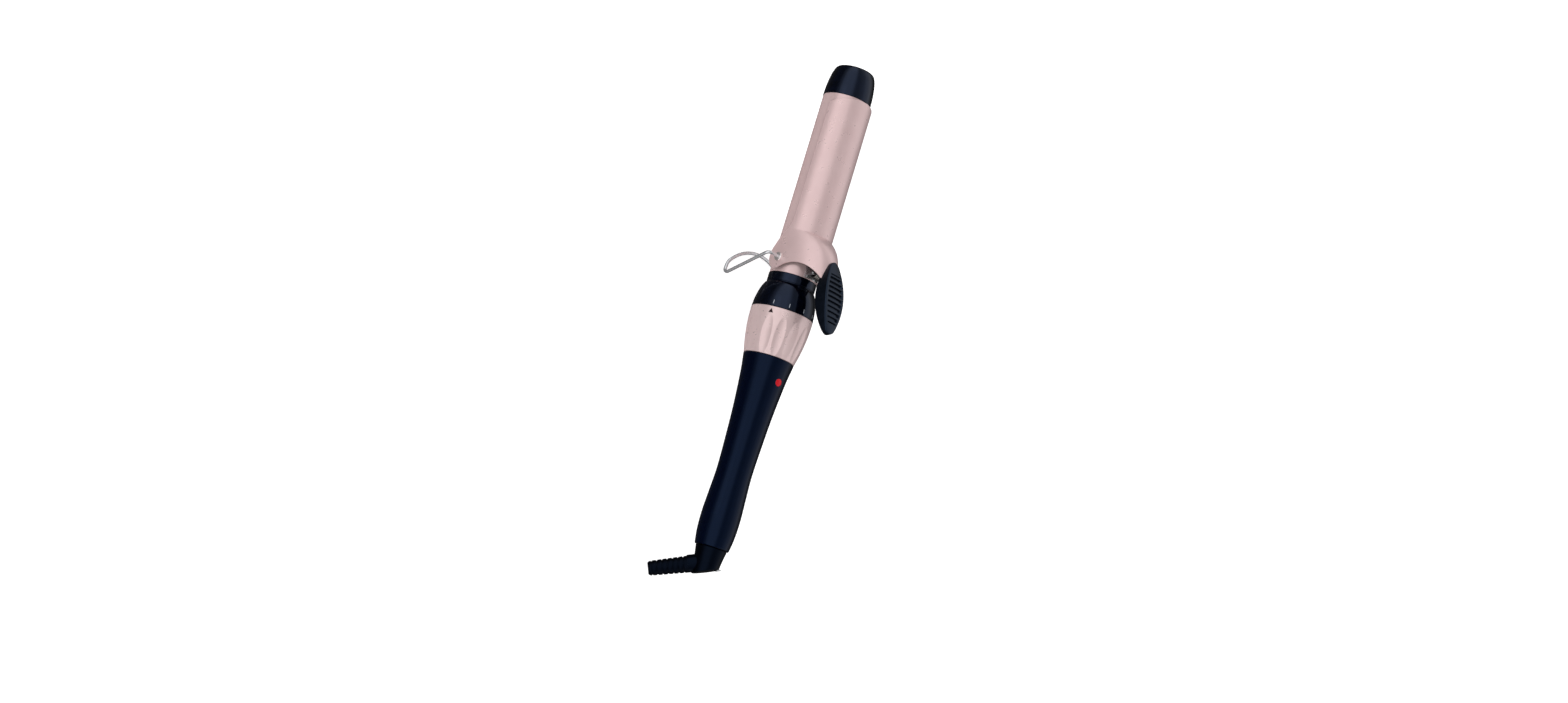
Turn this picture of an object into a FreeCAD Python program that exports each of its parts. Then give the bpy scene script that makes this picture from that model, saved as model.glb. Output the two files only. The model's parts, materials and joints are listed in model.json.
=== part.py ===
"""Clip-type curling iron: heated barrel, sprung clip, thumb lever, wire stand, heat dial and cord swivel.

Millimetres. +X runs along the iron to the cool tip, +Z is the clip side, and the stand's foot is on Z = 0.
Every sub-part is drawn about the iron's own axis, with X = 0 where the cool tip meets the barrel, and is
moved to the part's frame as it is written.
"""
import FreeCAD
import Part
import math
import os

# Stations along the iron, from the joint between cool tip and barrel
X_TIP = 22.5
X_COLLAR = -126.0
X_GROOVE = -132.0
X_DIAL = -150.5
X_HANDLE = -181.5
X_TAIL = -309.5
X_HINGE = -117.0
X_CREASE = -97.0
X_LED = -196.0

# The iron's axis in the part's frame
AXIS_X = 157.4
AXIS_Z = 36.0

# Radii
R_BARREL = 16.0
R_TIP = 16.3
R_COLLAR = 16.2
R_DIAL = 20.8
R_DIAL_TAIL = 16.95
R_HUB = 14.5
R_TAIL = 11.2
BARREL_WALL = 0.9

# Gaps between pieces that move against each other
RUNNING_GAP = 0.05
PART_GAP = 0.3
R_SPIGOT = R_BARREL - BARREL_WALL - RUNNING_GAP

# Clip: a spoon on the barrel, a flared hood and a tongue under the thumb pad
SHEET = 0.85
R_SPOON = 17.25
EAR_HALF_WIDTH = 17.9
SPOON_HALF_ANGLE = 80.0
TONGUE_HALF_WIDTH = 5.6
PAD_LENGTH = 49.4
PAD_HALF_WIDTH = 9.1
PAD_END_R = 5.0
PAD_CROWN = 4.0
PAD_BELLY = 6.5
PAD_END_ABOVE = 1.6
PAD_END_BELOW = 2.4
PAD_TILT = 15.2
PAD_CENTRE_X = -136.8
PAD_CENTRE_Z = 38.4
PAD_GRIPS = 10
PAD_GRIP_PITCH = 3.4
PAD_GRIP_CENTRE = -1.2
PAD_SCREW_STATIONS = (0.0, -11.0)
PAD_SCREW_R = 0.9
PAD_SCREW_HEAD_R = 1.8
PAD_SCREW_END = 1.4

# Hinge rivets, which also hold the ends of the stand
RIVET_R = 1.9
RIVET_BORE = 1.15
RIVET_HEAD_R = 3.1

# Wire stand
WIRE_R = 1.1
STAND_HALF_WIDTH = 28.4
STAND_DROP = 34.9
STAND_BACK = 17.7
STAND_REACH = 22.8
STAND_BEND_R = 2.6
STAND_TOE_R = 8.0
STAND_ARCH_ANGLE = 50.0
STAND_SIDE_ANGLE = 85.0

# Dial
FLUTES = 14
FLUTE_R = 12.0
FLUTE_START = (-157.0, 20.6)
FLUTE_END = (-181.35, 16.85)
DETENT_STEP = 30.0
DETENTS = 4

# Cord swivel: an elbow whose outlet leaves the tail at an angle
OUTLET_LEAN = 67.0
OUTLET_TURN = 45.0
X_OUTLET = -319.0
OUTLET_LENGTH = 38.0
RELIEF_R_ROOT = 5.5
RELIEF_R_END = 4.75
CORD_R = 3.5
STEM_R = 4.5
FLANGE_R = 7.0

PARTS = "parts"


def at(x, y, z):
    return FreeCAD.Vector(x, y, z)


ALONG = at(1, 0, 0)
ACROSS = at(0, 1, 0)
UP = at(0, 0, 1)
CENTRE = at(0, 0, 0)


class Outline:
    """A closed outline in the XZ plane, drawn from point to point."""

    def __init__(self, x, z):
        self.first = at(x, 0, z)
        self.last = self.first
        self.edges = []

    def line(self, x, z):
        end = at(x, 0, z)
        self.edges.append(Part.LineSegment(self.last, end).toShape())
        self.last = end
        return self

    def lines(self, *points):
        for x, z in points:
            self.line(x, z)
        return self

    def arc(self, through, end):
        end = at(end[0], 0, end[1])
        self.edges.append(Part.Arc(self.last, at(through[0], 0, through[1]), end).toShape())
        self.last = end
        return self

    def curve(self, *points):
        nodes = [self.last] + [at(x, 0, z) for x, z in points]
        spline = Part.BSplineCurve()
        spline.interpolate(nodes)
        self.edges.append(spline.toShape())
        self.last = nodes[-1]
        return self

    def face(self):
        if (self.last - self.first).Length > 1e-6:
            self.line(self.first.x, self.first.z)
        return Part.Face(Part.Wire(self.edges))

    def turned(self):
        """The outline turned about the iron's axis."""
        return self.face().revolve(CENTRE, ALONG, 360)

    def extruded(self, half_width):
        """The outline as a plate that reaches half_width to each side of the middle plane."""
        face = self.face()
        face.translate(at(0, -half_width, 0))
        return face.extrude(at(0, 2 * half_width, 0))


def rod(radius, start, end):
    """A round bar between two points."""
    way = end - start
    return Part.makeCylinder(radius, way.Length, start, way)


def disc(radius, x_front, x_back, y=0.0, z=0.0):
    """A round bar along the iron, from x_front back to x_back."""
    return rod(radius, at(x_back, y, z), at(x_front, y, z))


def ring(outer, inner, x_front, x_back):
    return disc(outer, x_front, x_back).cut(disc(inner, x_front + 1, x_back - 1))


def block(x0, x1, y0, y1, z0, z1):
    return Part.makeBox(x1 - x0, y1 - y0, z1 - z0, at(x0, y0, z0))


def joined(shapes):
    """One solid from shapes that touch."""
    return shapes[0].multiFuse(shapes[1:]).removeSplitter()


def group(shapes):
    """Separate solids that share a node."""
    return Part.makeCompound(shapes)


def both_sides(shape):
    """A shape and its mirror image across the iron's middle plane."""
    return group([shape, shape.mirror(CENTRE, ACROSS)])


def turned_by(shape, degrees, centre=CENTRE, axis=ALONG):
    copy = shape.copy()
    copy.rotate(centre, axis, degrees)
    return copy


# ---------------------------------------------------------------- cool tip and heated barrel

def cool_tip():
    return (Outline(0, R_SPIGOT)
            .lines((-9, R_SPIGOT), (-9, 13.2), (8, 13.2))
            .arc((15.5, 11.6), (19.2, 8.0))
            .lines((19.6, 0), (X_TIP, 0))
            .arc((22.4, 5.4), (22.1, 10.4))
            .arc((21.5, 12.4), (19.9, 13.5))
            .arc((11, 15.65), (0, R_TIP))
            .turned())


def tip_insulator():
    return ring(13.9, 2.0, -9.4, -11.6)


def barrel():
    tube = ring(R_BARREL, R_BARREL - BARREL_WALL, 0, X_COLLAR)
    pivot_holes = rod(RIVET_R, at(X_HINGE, -20, 0), at(X_HINGE, 20, 0))
    rivet_holes = [rod(1.0, at(-118.6, side * 3.4, 10), at(-118.6, side * 3.4, 20)) for side in (-1, 1)]
    return tube.cut(pivot_holes).cut(group(rivet_holes))


HEATER_FRONT = -12.5
HEATER_BACK = -104.0
PLATE_HALF_WIDTH = 9.0


def heat_spreader(side, plate_z):
    """A half-round extrusion that presses the heater's heat out to the barrel."""
    length_cut = block(HEATER_BACK, HEATER_FRONT, -20, 20, 0.4, 20)
    shell = ring(14.9, 13.7, HEATER_FRONT, HEATER_BACK).common(length_cut)
    plate = block(HEATER_BACK, HEATER_FRONT, -PLATE_HALF_WIDTH, PLATE_HALF_WIDTH, plate_z, plate_z + 1.2)
    reach = disc(14.0, HEATER_FRONT, HEATER_BACK)
    webs = [block(HEATER_BACK, HEATER_FRONT, y, y + 1.2, plate_z, 14).common(reach) for y in (-7.6, 6.4)]
    spreader = joined([shell, plate] + webs)
    return spreader if side > 0 else turned_by(spreader, 180)


def ptc_heater():
    return block(-96, -20, -8, 8, -1.95, 1.95)


def heater_spring():
    """A corrugated strip that wedges the heater against the lower spreader's plate."""
    waves = 9
    pitch = 8.0
    strip = Outline(-22, -2.1)
    for wave in range(waves):
        start = -22 - wave * pitch
        strip.line(start - pitch / 2, -3.3)
        strip.line(start - pitch, -2.1)
    for wave in reversed(range(waves)):
        start = -22 - wave * pitch
        strip.line(start - pitch, -2.4)
        strip.line(start - pitch / 2, -3.6)
    strip.line(-22, -2.4)
    return strip.extruded(6)


def temperature_sensor():
    bead = disc(1.2, -52, -66, 0, 4.65)
    tail = disc(0.5, -66, -108, 0, 4.65)
    return joined([bead, tail])


def thermal_fuse():
    body = disc(1.9, -88, -99, 0, -7.2)
    leads = disc(0.4, -84, -108, 0, -7.2)
    return joined([body, leads])


def mica_washer():
    washer = ring(14.9, 3.0, -108.4, -110.0)
    wire_holes = [disc(1.0, -107, -111, y, 0) for y in (-5, 5)]
    sensor_hole = disc(0.8, -107, -111, 0, 4.65)
    fuse_hole = disc(0.8, -107, -111, 0, -7.2)
    return washer.cut(group(wire_holes + [sensor_hole, fuse_hole]))


def heater_leads():
    """Two insulated wires from the heater back to the control board."""
    return group([disc(0.75, -96.4, -199, y, 0) for y in (-5, 5)])


# ---------------------------------------------------------------- collar, dial and chassis

X_COLLAR_FLANGE = -129.5
COLLAR_SCREW_CIRCLE = 11.2


def collar_bell():
    """The black collar: a spigot in the barrel, a flange for its screws, a neck and a flared skirt."""
    back = X_DIAL + PART_GAP / 2
    bell = (Outline(X_COLLAR, R_COLLAR - 0.25)
            .arc((X_COLLAR - 0.08, R_COLLAR - 0.08), (X_COLLAR - 0.25, R_COLLAR))
            .lines((X_GROOVE + 0.5, R_COLLAR), (X_GROOVE + 0.4, R_COLLAR - 0.35))
            .lines((X_GROOVE - 0.1, R_COLLAR - 0.35), (X_GROOVE - 0.2, R_COLLAR))
            .curve((-134.0, 17.35), (-138.5, 19.1), (-144.5, 20.35), (back, R_DIAL))
            .lines((back, 18.6))
            .curve((-144.5, 18.2), (-138.5, 16.9), (-134.5, 15.2))
            .lines((-131.0, 13.4), (-131.0, 9.0), (X_COLLAR_FLANGE, 9.0), (X_COLLAR_FLANGE, 13.4))
            .lines((-119.8, 13.4), (-119.8, R_SPIGOT), (X_COLLAR, R_SPIGOT))
            .turned())
    return bell.cut(collar_screws())


def dial_ring():
    """The heat dial: a fluted outer wall, a hub that runs on the chassis, and a web that joins them."""
    front = X_DIAL - PART_GAP / 2
    back = X_HANDLE + PART_GAP / 2
    bore = R_HUB + RUNNING_GAP
    wall = (Outline(front, bore)
            .line(front, R_DIAL - 0.3)
            .arc((front - 0.1, R_DIAL - 0.1), (front - 0.3, R_DIAL))
            .arc((-166.0, 19.95), (back, R_DIAL_TAIL))
            .lines((back, R_DIAL_TAIL - 1.5))
            .curve((-168.0, 17.2), (-156.0, 18.2))
            .lines((-154.5, 17.0), (-154.5, 16.2), (back, 15.1), (back, bore))
            .turned())
    floor_start = at(FLUTE_START[0], 0, FLUTE_START[1])
    floor_end = at(FLUTE_END[0], 0, FLUTE_END[1])
    along_floor = (floor_end - floor_start).normalize()
    outward = ACROSS.cross(along_floor)
    flute_start = floor_start + outward * FLUTE_R - along_floor * 8
    flute = rod(FLUTE_R, flute_start, floor_end + outward * FLUTE_R + along_floor * 8)
    flutes = [turned_by(flute, (step + 0.5) * 360.0 / FLUTES) for step in range(FLUTES)]
    notch = disc(0.6, -158, -174, 0, -(bore + 0.2))
    notches = [turned_by(notch, -step * DETENT_STEP) for step in range(DETENTS)]
    return wall.cut(group(flutes)).cut(group(notches))


def chassis_outline():
    """Half of the inner chassis: the dial's bearing in front, then a tube that fits the handle."""
    return (Outline(-131.5, 0)
            .lines((-131.5, 12.8), (-149.5, 12.8), (-149.5, R_HUB), (-181.0, R_HUB))
            .lines((-183.0, 14.4), (-200.0, 12.3))
            .curve((-218.0, 10.85), (-240.0, 9.75), (-262.0, 9.1))
            .lines((-309.0, 8.9), (-309.0, 0)))


def chassis_hollow():
    return (Outline(-130.5, 0)
            .lines((-130.5, 9.8), (-142.0, 9.8), (-145.0, 11.0), (-151.0, 11.0))
            .lines((-154.0, 12.7), (-182.0, 12.7), (-200.0, 10.6))
            .curve((-218.0, 9.2), (-240.0, 8.2), (-262.0, 7.6))
            .lines((-288.0, 7.5), (-288.0, STEM_R + RUNNING_GAP), (-295.0, STEM_R + RUNNING_GAP))
            .lines((-295.0, FLANGE_R + PART_GAP), (-298.6, FLANGE_R + PART_GAP))
            .lines((-298.6, STEM_R + RUNNING_GAP), (-310.0, STEM_R + RUNNING_GAP), (-310.0, 0)))


BOARD_FRONT = -200.0
BOARD_BACK = -268.0
LEAF_FRONT = -160.0
LEAF_BACK = -172.0

# Chassis screws: station, distance from the middle plane, height of the head's seat, height of the tip
CHASSIS_SCREWS = ((-205.0, 5.2, 8.2, -6.0), (-304.5, 6.4, 2.6, -3.6))
SCREW_R = 0.9
SCREW_HEAD_R = 1.6
POST_R = 2.6


def chassis_half(side):
    solid = chassis_outline().turned()
    tube = solid.cut(chassis_hollow().turned())
    post_x, post_y = CHASSIS_SCREWS[0][:2]
    posts = [rod(POST_R, at(post_x, y, 0.85), at(post_x, y, 20)).common(solid) for y in (-post_y, post_y)]
    half = joined([tube.common(block(-320, -120, -20, 20, 0.02, 20))] + posts)
    if side < 0:
        half = half.mirror(CENTRE, UP)
        half = half.cut(block(LEAF_BACK - 0.5, LEAF_FRONT + 0.5, -2.2, 2.2, -15, -12))
    else:
        half = half.cut(rod(3.6, at(X_LED, 0, 0), at(X_LED, 0, 20)))
    return half.cut(chassis_screw_wells()).cut(collar_screws())


def chassis_screw_wells():
    """The screws' holes, with counterbores that let their heads in from above."""
    wells = []
    for x, distance, seat, tip in CHASSIS_SCREWS:
        for y in (-distance, distance):
            wells.append(rod(SCREW_R, at(x, y, tip), at(x, y, seat)))
            wells.append(rod(SCREW_HEAD_R + 0.2, at(x, y, seat), at(x, y, 20)))
    return group(wells)


def chassis_screws():
    """Slotted screws that draw the two chassis halves together."""
    screws = []
    for x, distance, seat, tip in CHASSIS_SCREWS:
        for y in (-distance, distance):
            shank = rod(SCREW_R, at(x, y, tip), at(x, y, seat))
            head = rod(SCREW_HEAD_R, at(x, y, seat), at(x, y, seat + 1.0))
            slot = block(x - 1.2, x + 1.2, y - 0.25, y + 0.25, seat + 0.6, seat + 1.1)
            screws.append(joined([shank, head]).cut(slot))
    return group(screws)


def collar_screws():
    """Screws along the iron that hold the collar's inner flange to the chassis."""
    shank = disc(1.0, X_COLLAR_FLANGE, -140.5, 0, COLLAR_SCREW_CIRCLE)
    head = disc(1.8, X_COLLAR_FLANGE + 1.2, X_COLLAR_FLANGE, 0, COLLAR_SCREW_CIRCLE)
    screw = joined([shank, head])
    return group([turned_by(screw, turn) for turn in (60, 180, 300)])


def detent_spring():
    """A bent leaf in the chassis whose crest rides in the dial's notches."""
    crest = -(R_HUB - 0.1)
    thickness = 0.35
    middle = (LEAF_FRONT + LEAF_BACK) / 2
    return (Outline(LEAF_FRONT, -12.75)
            .line(middle, crest)
            .line(LEAF_BACK, -12.75)
            .line(LEAF_BACK, -12.75 + thickness)
            .line(middle, crest + thickness)
            .line(LEAF_FRONT, -12.75 + thickness)
            .extruded(1.8))


def selector_board():
    """A ring-shaped board on the chassis's step that carries the dial's contact tracks."""
    return ring(R_HUB, 12.85, -148.0, -149.3)


def selector_wiper():
    """The dial's wiper, a sprung blade just in front of the dial's web that reaches over the board."""
    blade = ring(16.0, 14.9, -148.9, -150.0).common(block(-152, -147, -4, 4, 10, 18))
    foot = block(-150.65, -150.0, -1.2, 1.2, 14.9, 15.9)
    return joined([blade, foot])


# ---------------------------------------------------------------- handle, board and light

def handle_outer_curve(outline):
    return outline.curve((-199.8, 14.75), (-218.0, 13.3), (-239.0, 12.3), (-259.5, 11.75),
                         (-274.5, 12.35), (-289.0, 12.95), (-301.0, 12.5), (X_TAIL + 0.8, R_TAIL + 0.25))


def handle_sleeve():
    """The one-piece grip that slides over the chassis from the tail."""
    outline = (Outline(X_HANDLE - PART_GAP / 2, 14.8)
               .line(X_HANDLE - PART_GAP / 2, R_DIAL_TAIL - 0.3)
               .arc((X_HANDLE - 0.25, R_DIAL_TAIL - 0.08), (X_HANDLE - 0.5, R_DIAL_TAIL)))
    handle_outer_curve(outline)
    outline.arc((X_TAIL + 0.2, R_TAIL), (X_TAIL, R_TAIL - 0.6))
    outline.lines((X_TAIL, 9.1), (-262.0, 9.3))
    outline.curve((-240.0, 9.95), (-218.0, 11.05), (-200.0, 12.5))
    outline.line(-183.0, 14.6)
    return outline.turned().cut(rod(2.75, at(X_LED, 0, 5), at(X_LED, 0, 20)))


def led_lens():
    """A domed red lens with a flange behind the handle's wall."""
    top = 15.35
    stem = rod(2.7, at(X_LED, 0, 12.0), at(X_LED, 0, top - 0.3))
    reach = rod(2.7, at(X_LED, 0, 12.0), at(X_LED, 0, 17))
    dome = Part.makeSphere(6.0, at(X_LED, 0, top - 5.6)).common(reach)
    flange = rod(3.4, at(X_LED, 0, 11.2), at(X_LED, 0, 12.35))
    return joined([stem, dome, flange])


def led():
    bulb = rod(1.5, at(X_LED, 0, 7.0), at(X_LED, 0, 9.6))
    crown = Part.makeSphere(1.5, at(X_LED, 0, 9.6))
    base = rod(1.9, at(X_LED, 0, 6.2), at(X_LED, 0, 7.0))
    legs = [rod(0.25, at(X_LED + side, 0, 1.0), at(X_LED + side, 0, 6.4)) for side in (-0.8, 0.8)]
    return joined([bulb, crown, base] + legs)


def control_board():
    board = block(BOARD_BACK, BOARD_FRONT, -6.8, 6.8, -0.8, 0.8)
    tab = block(BOARD_FRONT, X_LED + 3.5, -2.5, 2.5, -0.8, 0.8)
    screw_x, screw_y = CHASSIS_SCREWS[0][:2]
    holes = [rod(1.0, at(screw_x, y, -2), at(screw_x, y, 2)) for y in (-screw_y, screw_y)]
    leg_holes = [rod(0.3, at(X_LED + side, 0, -2), at(X_LED + side, 0, 2)) for side in (-0.8, 0.8)]
    return joined([board, tab]).cut(group(holes + leg_holes))


def board_components():
    """Capacitor, triac, fuse and small parts that stand on the control board."""
    capacitor = block(-226, -214, -4.6, 1.6, 0.85, 6.6)
    triac = block(-238.5, -229.5, -3.4, 3.0, 0.85, 3.4)
    resistor = disc(1.3, -243, -251, -2.6, 2.2)
    driver = block(-250, -243, 0.6, 5.0, 0.85, 2.5)
    electrolytic = disc(2.9, -253, -264, 0.6, 3.8)
    chips = [block(x, x + 2.0, -4.0, -2.8, -1.5, -0.85) for x in (-222, -232, -242, -252)]
    return group([capacitor, triac, resistor, driver, electrolytic] + chips)


# ---------------------------------------------------------------- cord swivel

def outlet_direction():
    lean = math.radians(OUTLET_LEAN)
    turn = math.radians(OUTLET_TURN)
    side = math.sin(lean)
    return at(-math.cos(lean), side * math.cos(turn), -side * math.sin(turn))


def outlet_point(distance):
    return at(X_OUTLET, 0, 0) + outlet_direction() * distance


def base_plane_box(distance):
    """Everything further than distance below the outlet's axis, on the side away from the handle."""
    below = outlet_direction().cross(at(0, 1, 1)).normalize()
    if below.x > 0:
        below = below * -1
    box = Part.makeBox(120, 120, 40, at(-60, -60, 0))
    box.Placement = FreeCAD.Placement(at(X_OUTLET, 0, 0) + below * distance, FreeCAD.Rotation(UP, below))
    return box


def elbow_outline():
    return (Outline(X_TAIL - PART_GAP, 0)
            .line(X_TAIL - PART_GAP, 9.9)
            .arc((X_TAIL - PART_GAP - 0.15, 10.15), (X_TAIL - PART_GAP - 0.5, 10.3))
            .curve((-313.5, 9.7), (-318.5, 9.0), (-323.5, 8.5), (-332.0, 7.8))
            .lines((-332.0, 0)))


BASE_DISTANCE = 6.1
COVER_THICKNESS = 1.2
COVER_EDGE_R = 0.9


def outlet_place(shape):
    """Moves a shape drawn along -X, from X = 0, onto the outlet's axis."""
    turn = FreeCAD.Rotation(at(-1, 0, 0), outlet_direction())
    shape.Placement = FreeCAD.Placement(at(X_OUTLET, 0, 0), turn)
    return shape


def swivel_elbow():
    """The turning elbow: a stem held in the chassis, a body and the cord's outlet."""
    body = elbow_outline().turned()
    boss = rod(6.0, outlet_point(0), outlet_point(12.5))
    stem = disc(STEM_R, -289.0, X_TAIL - 1.0)
    flange = disc(FLANGE_R, -295.3, -298.3)
    elbow = joined([body, boss, stem, flange])
    elbow = elbow.cut(base_plane_box(BASE_DISTANCE - COVER_THICKNESS))
    cord_way = rod(RELIEF_R_ROOT, outlet_point(2.0), outlet_point(14.0))
    wire_way = disc(2.6, -280.0, X_OUTLET)
    meeting = Part.makeSphere(4.4, outlet_point(0))
    screw_hole = rod(0.95, cover_screw_point(0), cover_screw_point(6.5))
    return elbow.cut(cord_way).cut(wire_way).cut(meeting).cut(screw_hole)


def below_direction():
    """Away from the handle, square to the cord's outlet."""
    lean = math.radians(OUTLET_LEAN)
    turn = math.radians(OUTLET_TURN)
    along = -math.sin(lean)
    side = -math.cos(lean)
    return at(along, side * math.cos(turn), -side * math.sin(turn))


def cover_screw_point(depth):
    """A point on the cover screw's axis, depth in from the elbow's base."""
    seat = at(X_OUTLET, 0, 0) - outlet_direction() * 6.4
    return seat + below_direction() * (BASE_DISTANCE - depth)


def is_in_base(edge):
    """Whether an edge lies in the plane of the elbow's base."""
    points = edge.discretize(5)
    depths = [(point - at(X_OUTLET, 0, 0)).dot(below_direction()) for point in points]
    return all(abs(depth - BASE_DISTANCE) < 0.01 for depth in depths)


def elbow_cover():
    """The plate that closes the elbow's base once the cord is in."""
    body = elbow_outline().turned()
    plate = body.cut(base_plane_box(BASE_DISTANCE))
    plate = plate.common(base_plane_box(BASE_DISTANCE - COVER_THICKNESS))
    rim = [edge for edge in plate.Edges if is_in_base(edge)]
    plate = plate.makeFillet(COVER_EDGE_R, rim)
    screw_hole = rod(1.0, cover_screw_point(-1), cover_screw_point(3))
    cord_way = rod(RELIEF_R_ROOT, outlet_point(3), outlet_point(20))
    return plate.cut(screw_hole).cut(cord_way)


def cover_screw():
    shank = rod(0.9, cover_screw_point(-0.1), cover_screw_point(6.2))
    head = rod(1.9, cover_screw_point(-0.55), cover_screw_point(0))
    return joined([shank, head])


def strain_relief():
    """A ribbed rubber sleeve with an open bore for the cord."""
    length = OUTLET_LENGTH
    taper = (RELIEF_R_ROOT - RELIEF_R_END) / (length - 12.0)
    round_r = 1.5
    start = 4.9
    outline = Outline(-start, CORD_R)
    outline.line(-start, RELIEF_R_ROOT)
    grooves = 7
    pitch = 3.4
    first = 14.5
    for groove in range(grooves):
        u = first + groove * pitch
        r = RELIEF_R_ROOT - taper * (u - 12.0)
        outline.lines((-u, r), (-u - 0.15, r - 0.55), (-u - 0.85, r - 0.55), (-u - 1.0, r))
    outline.line(-length + round_r, RELIEF_R_END)
    corner = round_r * (1 - math.sqrt(0.5))
    outline.arc((-length + corner, RELIEF_R_END - corner), (-length, RELIEF_R_END - round_r + 0.6))
    outline.line(-length, CORD_R)
    return outlet_place(outline.turned())


def cord_clamp():
    """A sleeve in the elbow, behind the strain relief, that grips the cord."""
    return outlet_place(ring(3.45, 2.75, -1.2, -4.2))


SLIP_STATIONS = (-284.0, -279.0)


def slip_carrier():
    """The insulated nose on the swivel's stem that carries the slip rings."""
    nose = disc(3.4, -276.5, -289.0)
    shoulder = disc(4.3, -286.4, -289.0)
    return joined([nose, shoulder]).cut(disc(1.6, -277.5, -290.0))


def slip_rings():
    return group([ring(4.4, 3.4, x + 1.2, x - 1.2) for x in SLIP_STATIONS])


def brush_contacts():
    """Sprung fingers that rub on the slip rings and hand the supply to the board."""
    fingers = []
    for x in SLIP_STATIONS:
        blade = block(x - 0.9, x + 0.9, -3.0, 3.0, -4.95, -4.65)
        post = block(x - 0.9, x + 0.9, -3.0, -2.6, -6.6, -4.65)
        fingers.append(joined([blade, post]))
    return group(fingers)


def supply_leads():
    """Wires from the brushes forward to the board."""
    front = BOARD_BACK - 0.4
    return group([disc(0.7, front, x + 1.0, y, -5.9) for x, y in zip(SLIP_STATIONS, (-1.8, 1.8))])


# ---------------------------------------------------------------- clip

# The clip's flared sections: station, half width, height
CLIP_SECTIONS = ((X_CREASE, R_SPOON, R_SPOON), (-100.0, 17.4, 21.6), (-104.5, 17.65, 26.3),
                 (-110.0, EAR_HALF_WIDTH, 29.7), (X_HINGE, EAR_HALF_WIDTH, 32.3),
                 (-126.0, EAR_HALF_WIDTH, 34.6), (-141.0, EAR_HALF_WIDTH, 38.6), (-157.0, EAR_HALF_WIDTH, 43.0))


def hood_solid(inset):
    """The flared part of the clip as a lofted solid, each section an ellipse about the iron's axis."""
    sections = []
    for x, half_width, height in CLIP_SECTIONS:
        low = at(x, 0, -(height - inset))
        side = at(x, half_width - inset, 0)
        sections.append(Part.Wire(Part.Ellipse(low, side, at(x, 0, 0)).toShape()))
    return Part.makeLoft(sections, True, False)


def clip_side_outline():
    """The clip seen from the side: spoon edge, rounded ears, arched cut above the collar, tongue."""
    edge = R_SPOON * math.cos(math.radians(SPOON_HALF_ANGLE))
    return (Outline(-0.5, 60)
            .line(-0.5, edge)
            .line(-84.0, edge)
            .curve((-94.0, edge - 1.2), (-104.5, -4.2), (-111.0, -7.2))
            .arc((X_HINGE, -8.4), (-122.2, -6.4))
            .arc((-124.4, -3.2), (-124.5, 1.4))
            .arc((-119.0, 16.5), (-126.4, 31.8))
            .lines((-133.0, 32.4), (-165.0, 32.4), (-165.0, 60)))


def clip_top_outline():
    """The clip seen from above: rounded spoon end, full-width hood, narrow tongue with a round end."""
    wide = 19.0
    narrow = TONGUE_HALF_WIDTH
    corner = 16.0
    return (Outline(-1.0 - 3.6, -corner)
            .arc((-1.0, 0), (-1.0 - 3.6, corner))
            .line(-8.0, wide)
            .line(-125.5, wide)
            .curve((-127.0, 12.0), (-128.5, 7.6), (-131.5, narrow))
            .line(-148.0, narrow)
            .arc((-148.0 - narrow, 0), (-148.0, -narrow))
            .line(-131.5, -narrow)
            .curve((-128.5, -7.6), (-127.0, -12.0), (-125.5, -wide))
            .line(-8.0, -wide))


def seen_from_above(outline, z_low, z_high):
    """Lays an XZ outline flat as an XY outline and makes it a prism between two heights."""
    face = outline.face()
    face.rotate(CENTRE, ALONG, -90)
    face.translate(at(0, 0, z_low))
    return face.extrude(at(0, 0, z_high - z_low))


def clip_shell():
    """Spoon, hood and tongue, pressed from one sheet."""
    inner = R_SPOON - SHEET
    spoon = (Outline(-0.5, inner)
             .lines((-0.5, inner + 0.3), (-6.5, R_SPOON), (X_CREASE, R_SPOON), (X_CREASE, inner))
             .turned())
    hood = hood_solid(0).cut(hood_solid(SHEET))
    sheet = joined([spoon, hood])
    sheet = sheet.common(clip_side_outline().extruded(25))
    sheet = sheet.common(seen_from_above(clip_top_outline(), -20, 70))
    ear_holes = rod(RIVET_R + 0.07, at(X_HINGE, -20, 0), at(X_HINGE, 20, 0))
    return sheet.cut(ear_holes).cut(group(pad_screw_bodies(0.05)))


def pad_place(shape):
    """Moves a shape from the pad's own frame, long axis on X, to its tilt and place on the clip."""
    shape.Placement = FreeCAD.Placement(at(PAD_CENTRE_X, 0, PAD_CENTRE_Z), FreeCAD.Rotation(ACROSS, PAD_TILT))
    return shape


def pad_side_arc():
    """Radius of the pad's long side arcs, which run tangent into its round ends."""
    end_centre = PAD_LENGTH / 2 - PAD_END_R
    return (end_centre ** 2 + PAD_HALF_WIDTH ** 2 - PAD_END_R ** 2) / (2 * (PAD_HALF_WIDTH - PAD_END_R))


def pad_plan():
    """The pad seen from above: two long side arcs and two round ends."""
    side_r = pad_side_arc()
    share = side_r / (side_r - PAD_END_R)
    x = (PAD_LENGTH / 2 - PAD_END_R) * share
    y = (side_r - PAD_HALF_WIDTH) * (share - 1)
    return (Outline(x, y)
            .arc((0, PAD_HALF_WIDTH), (-x, y))
            .arc((-PAD_LENGTH / 2, 0), (-x, -y))
            .arc((0, -PAD_HALF_WIDTH), (x, -y))
            .arc((PAD_LENGTH / 2, 0), (x, y)))


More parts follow.
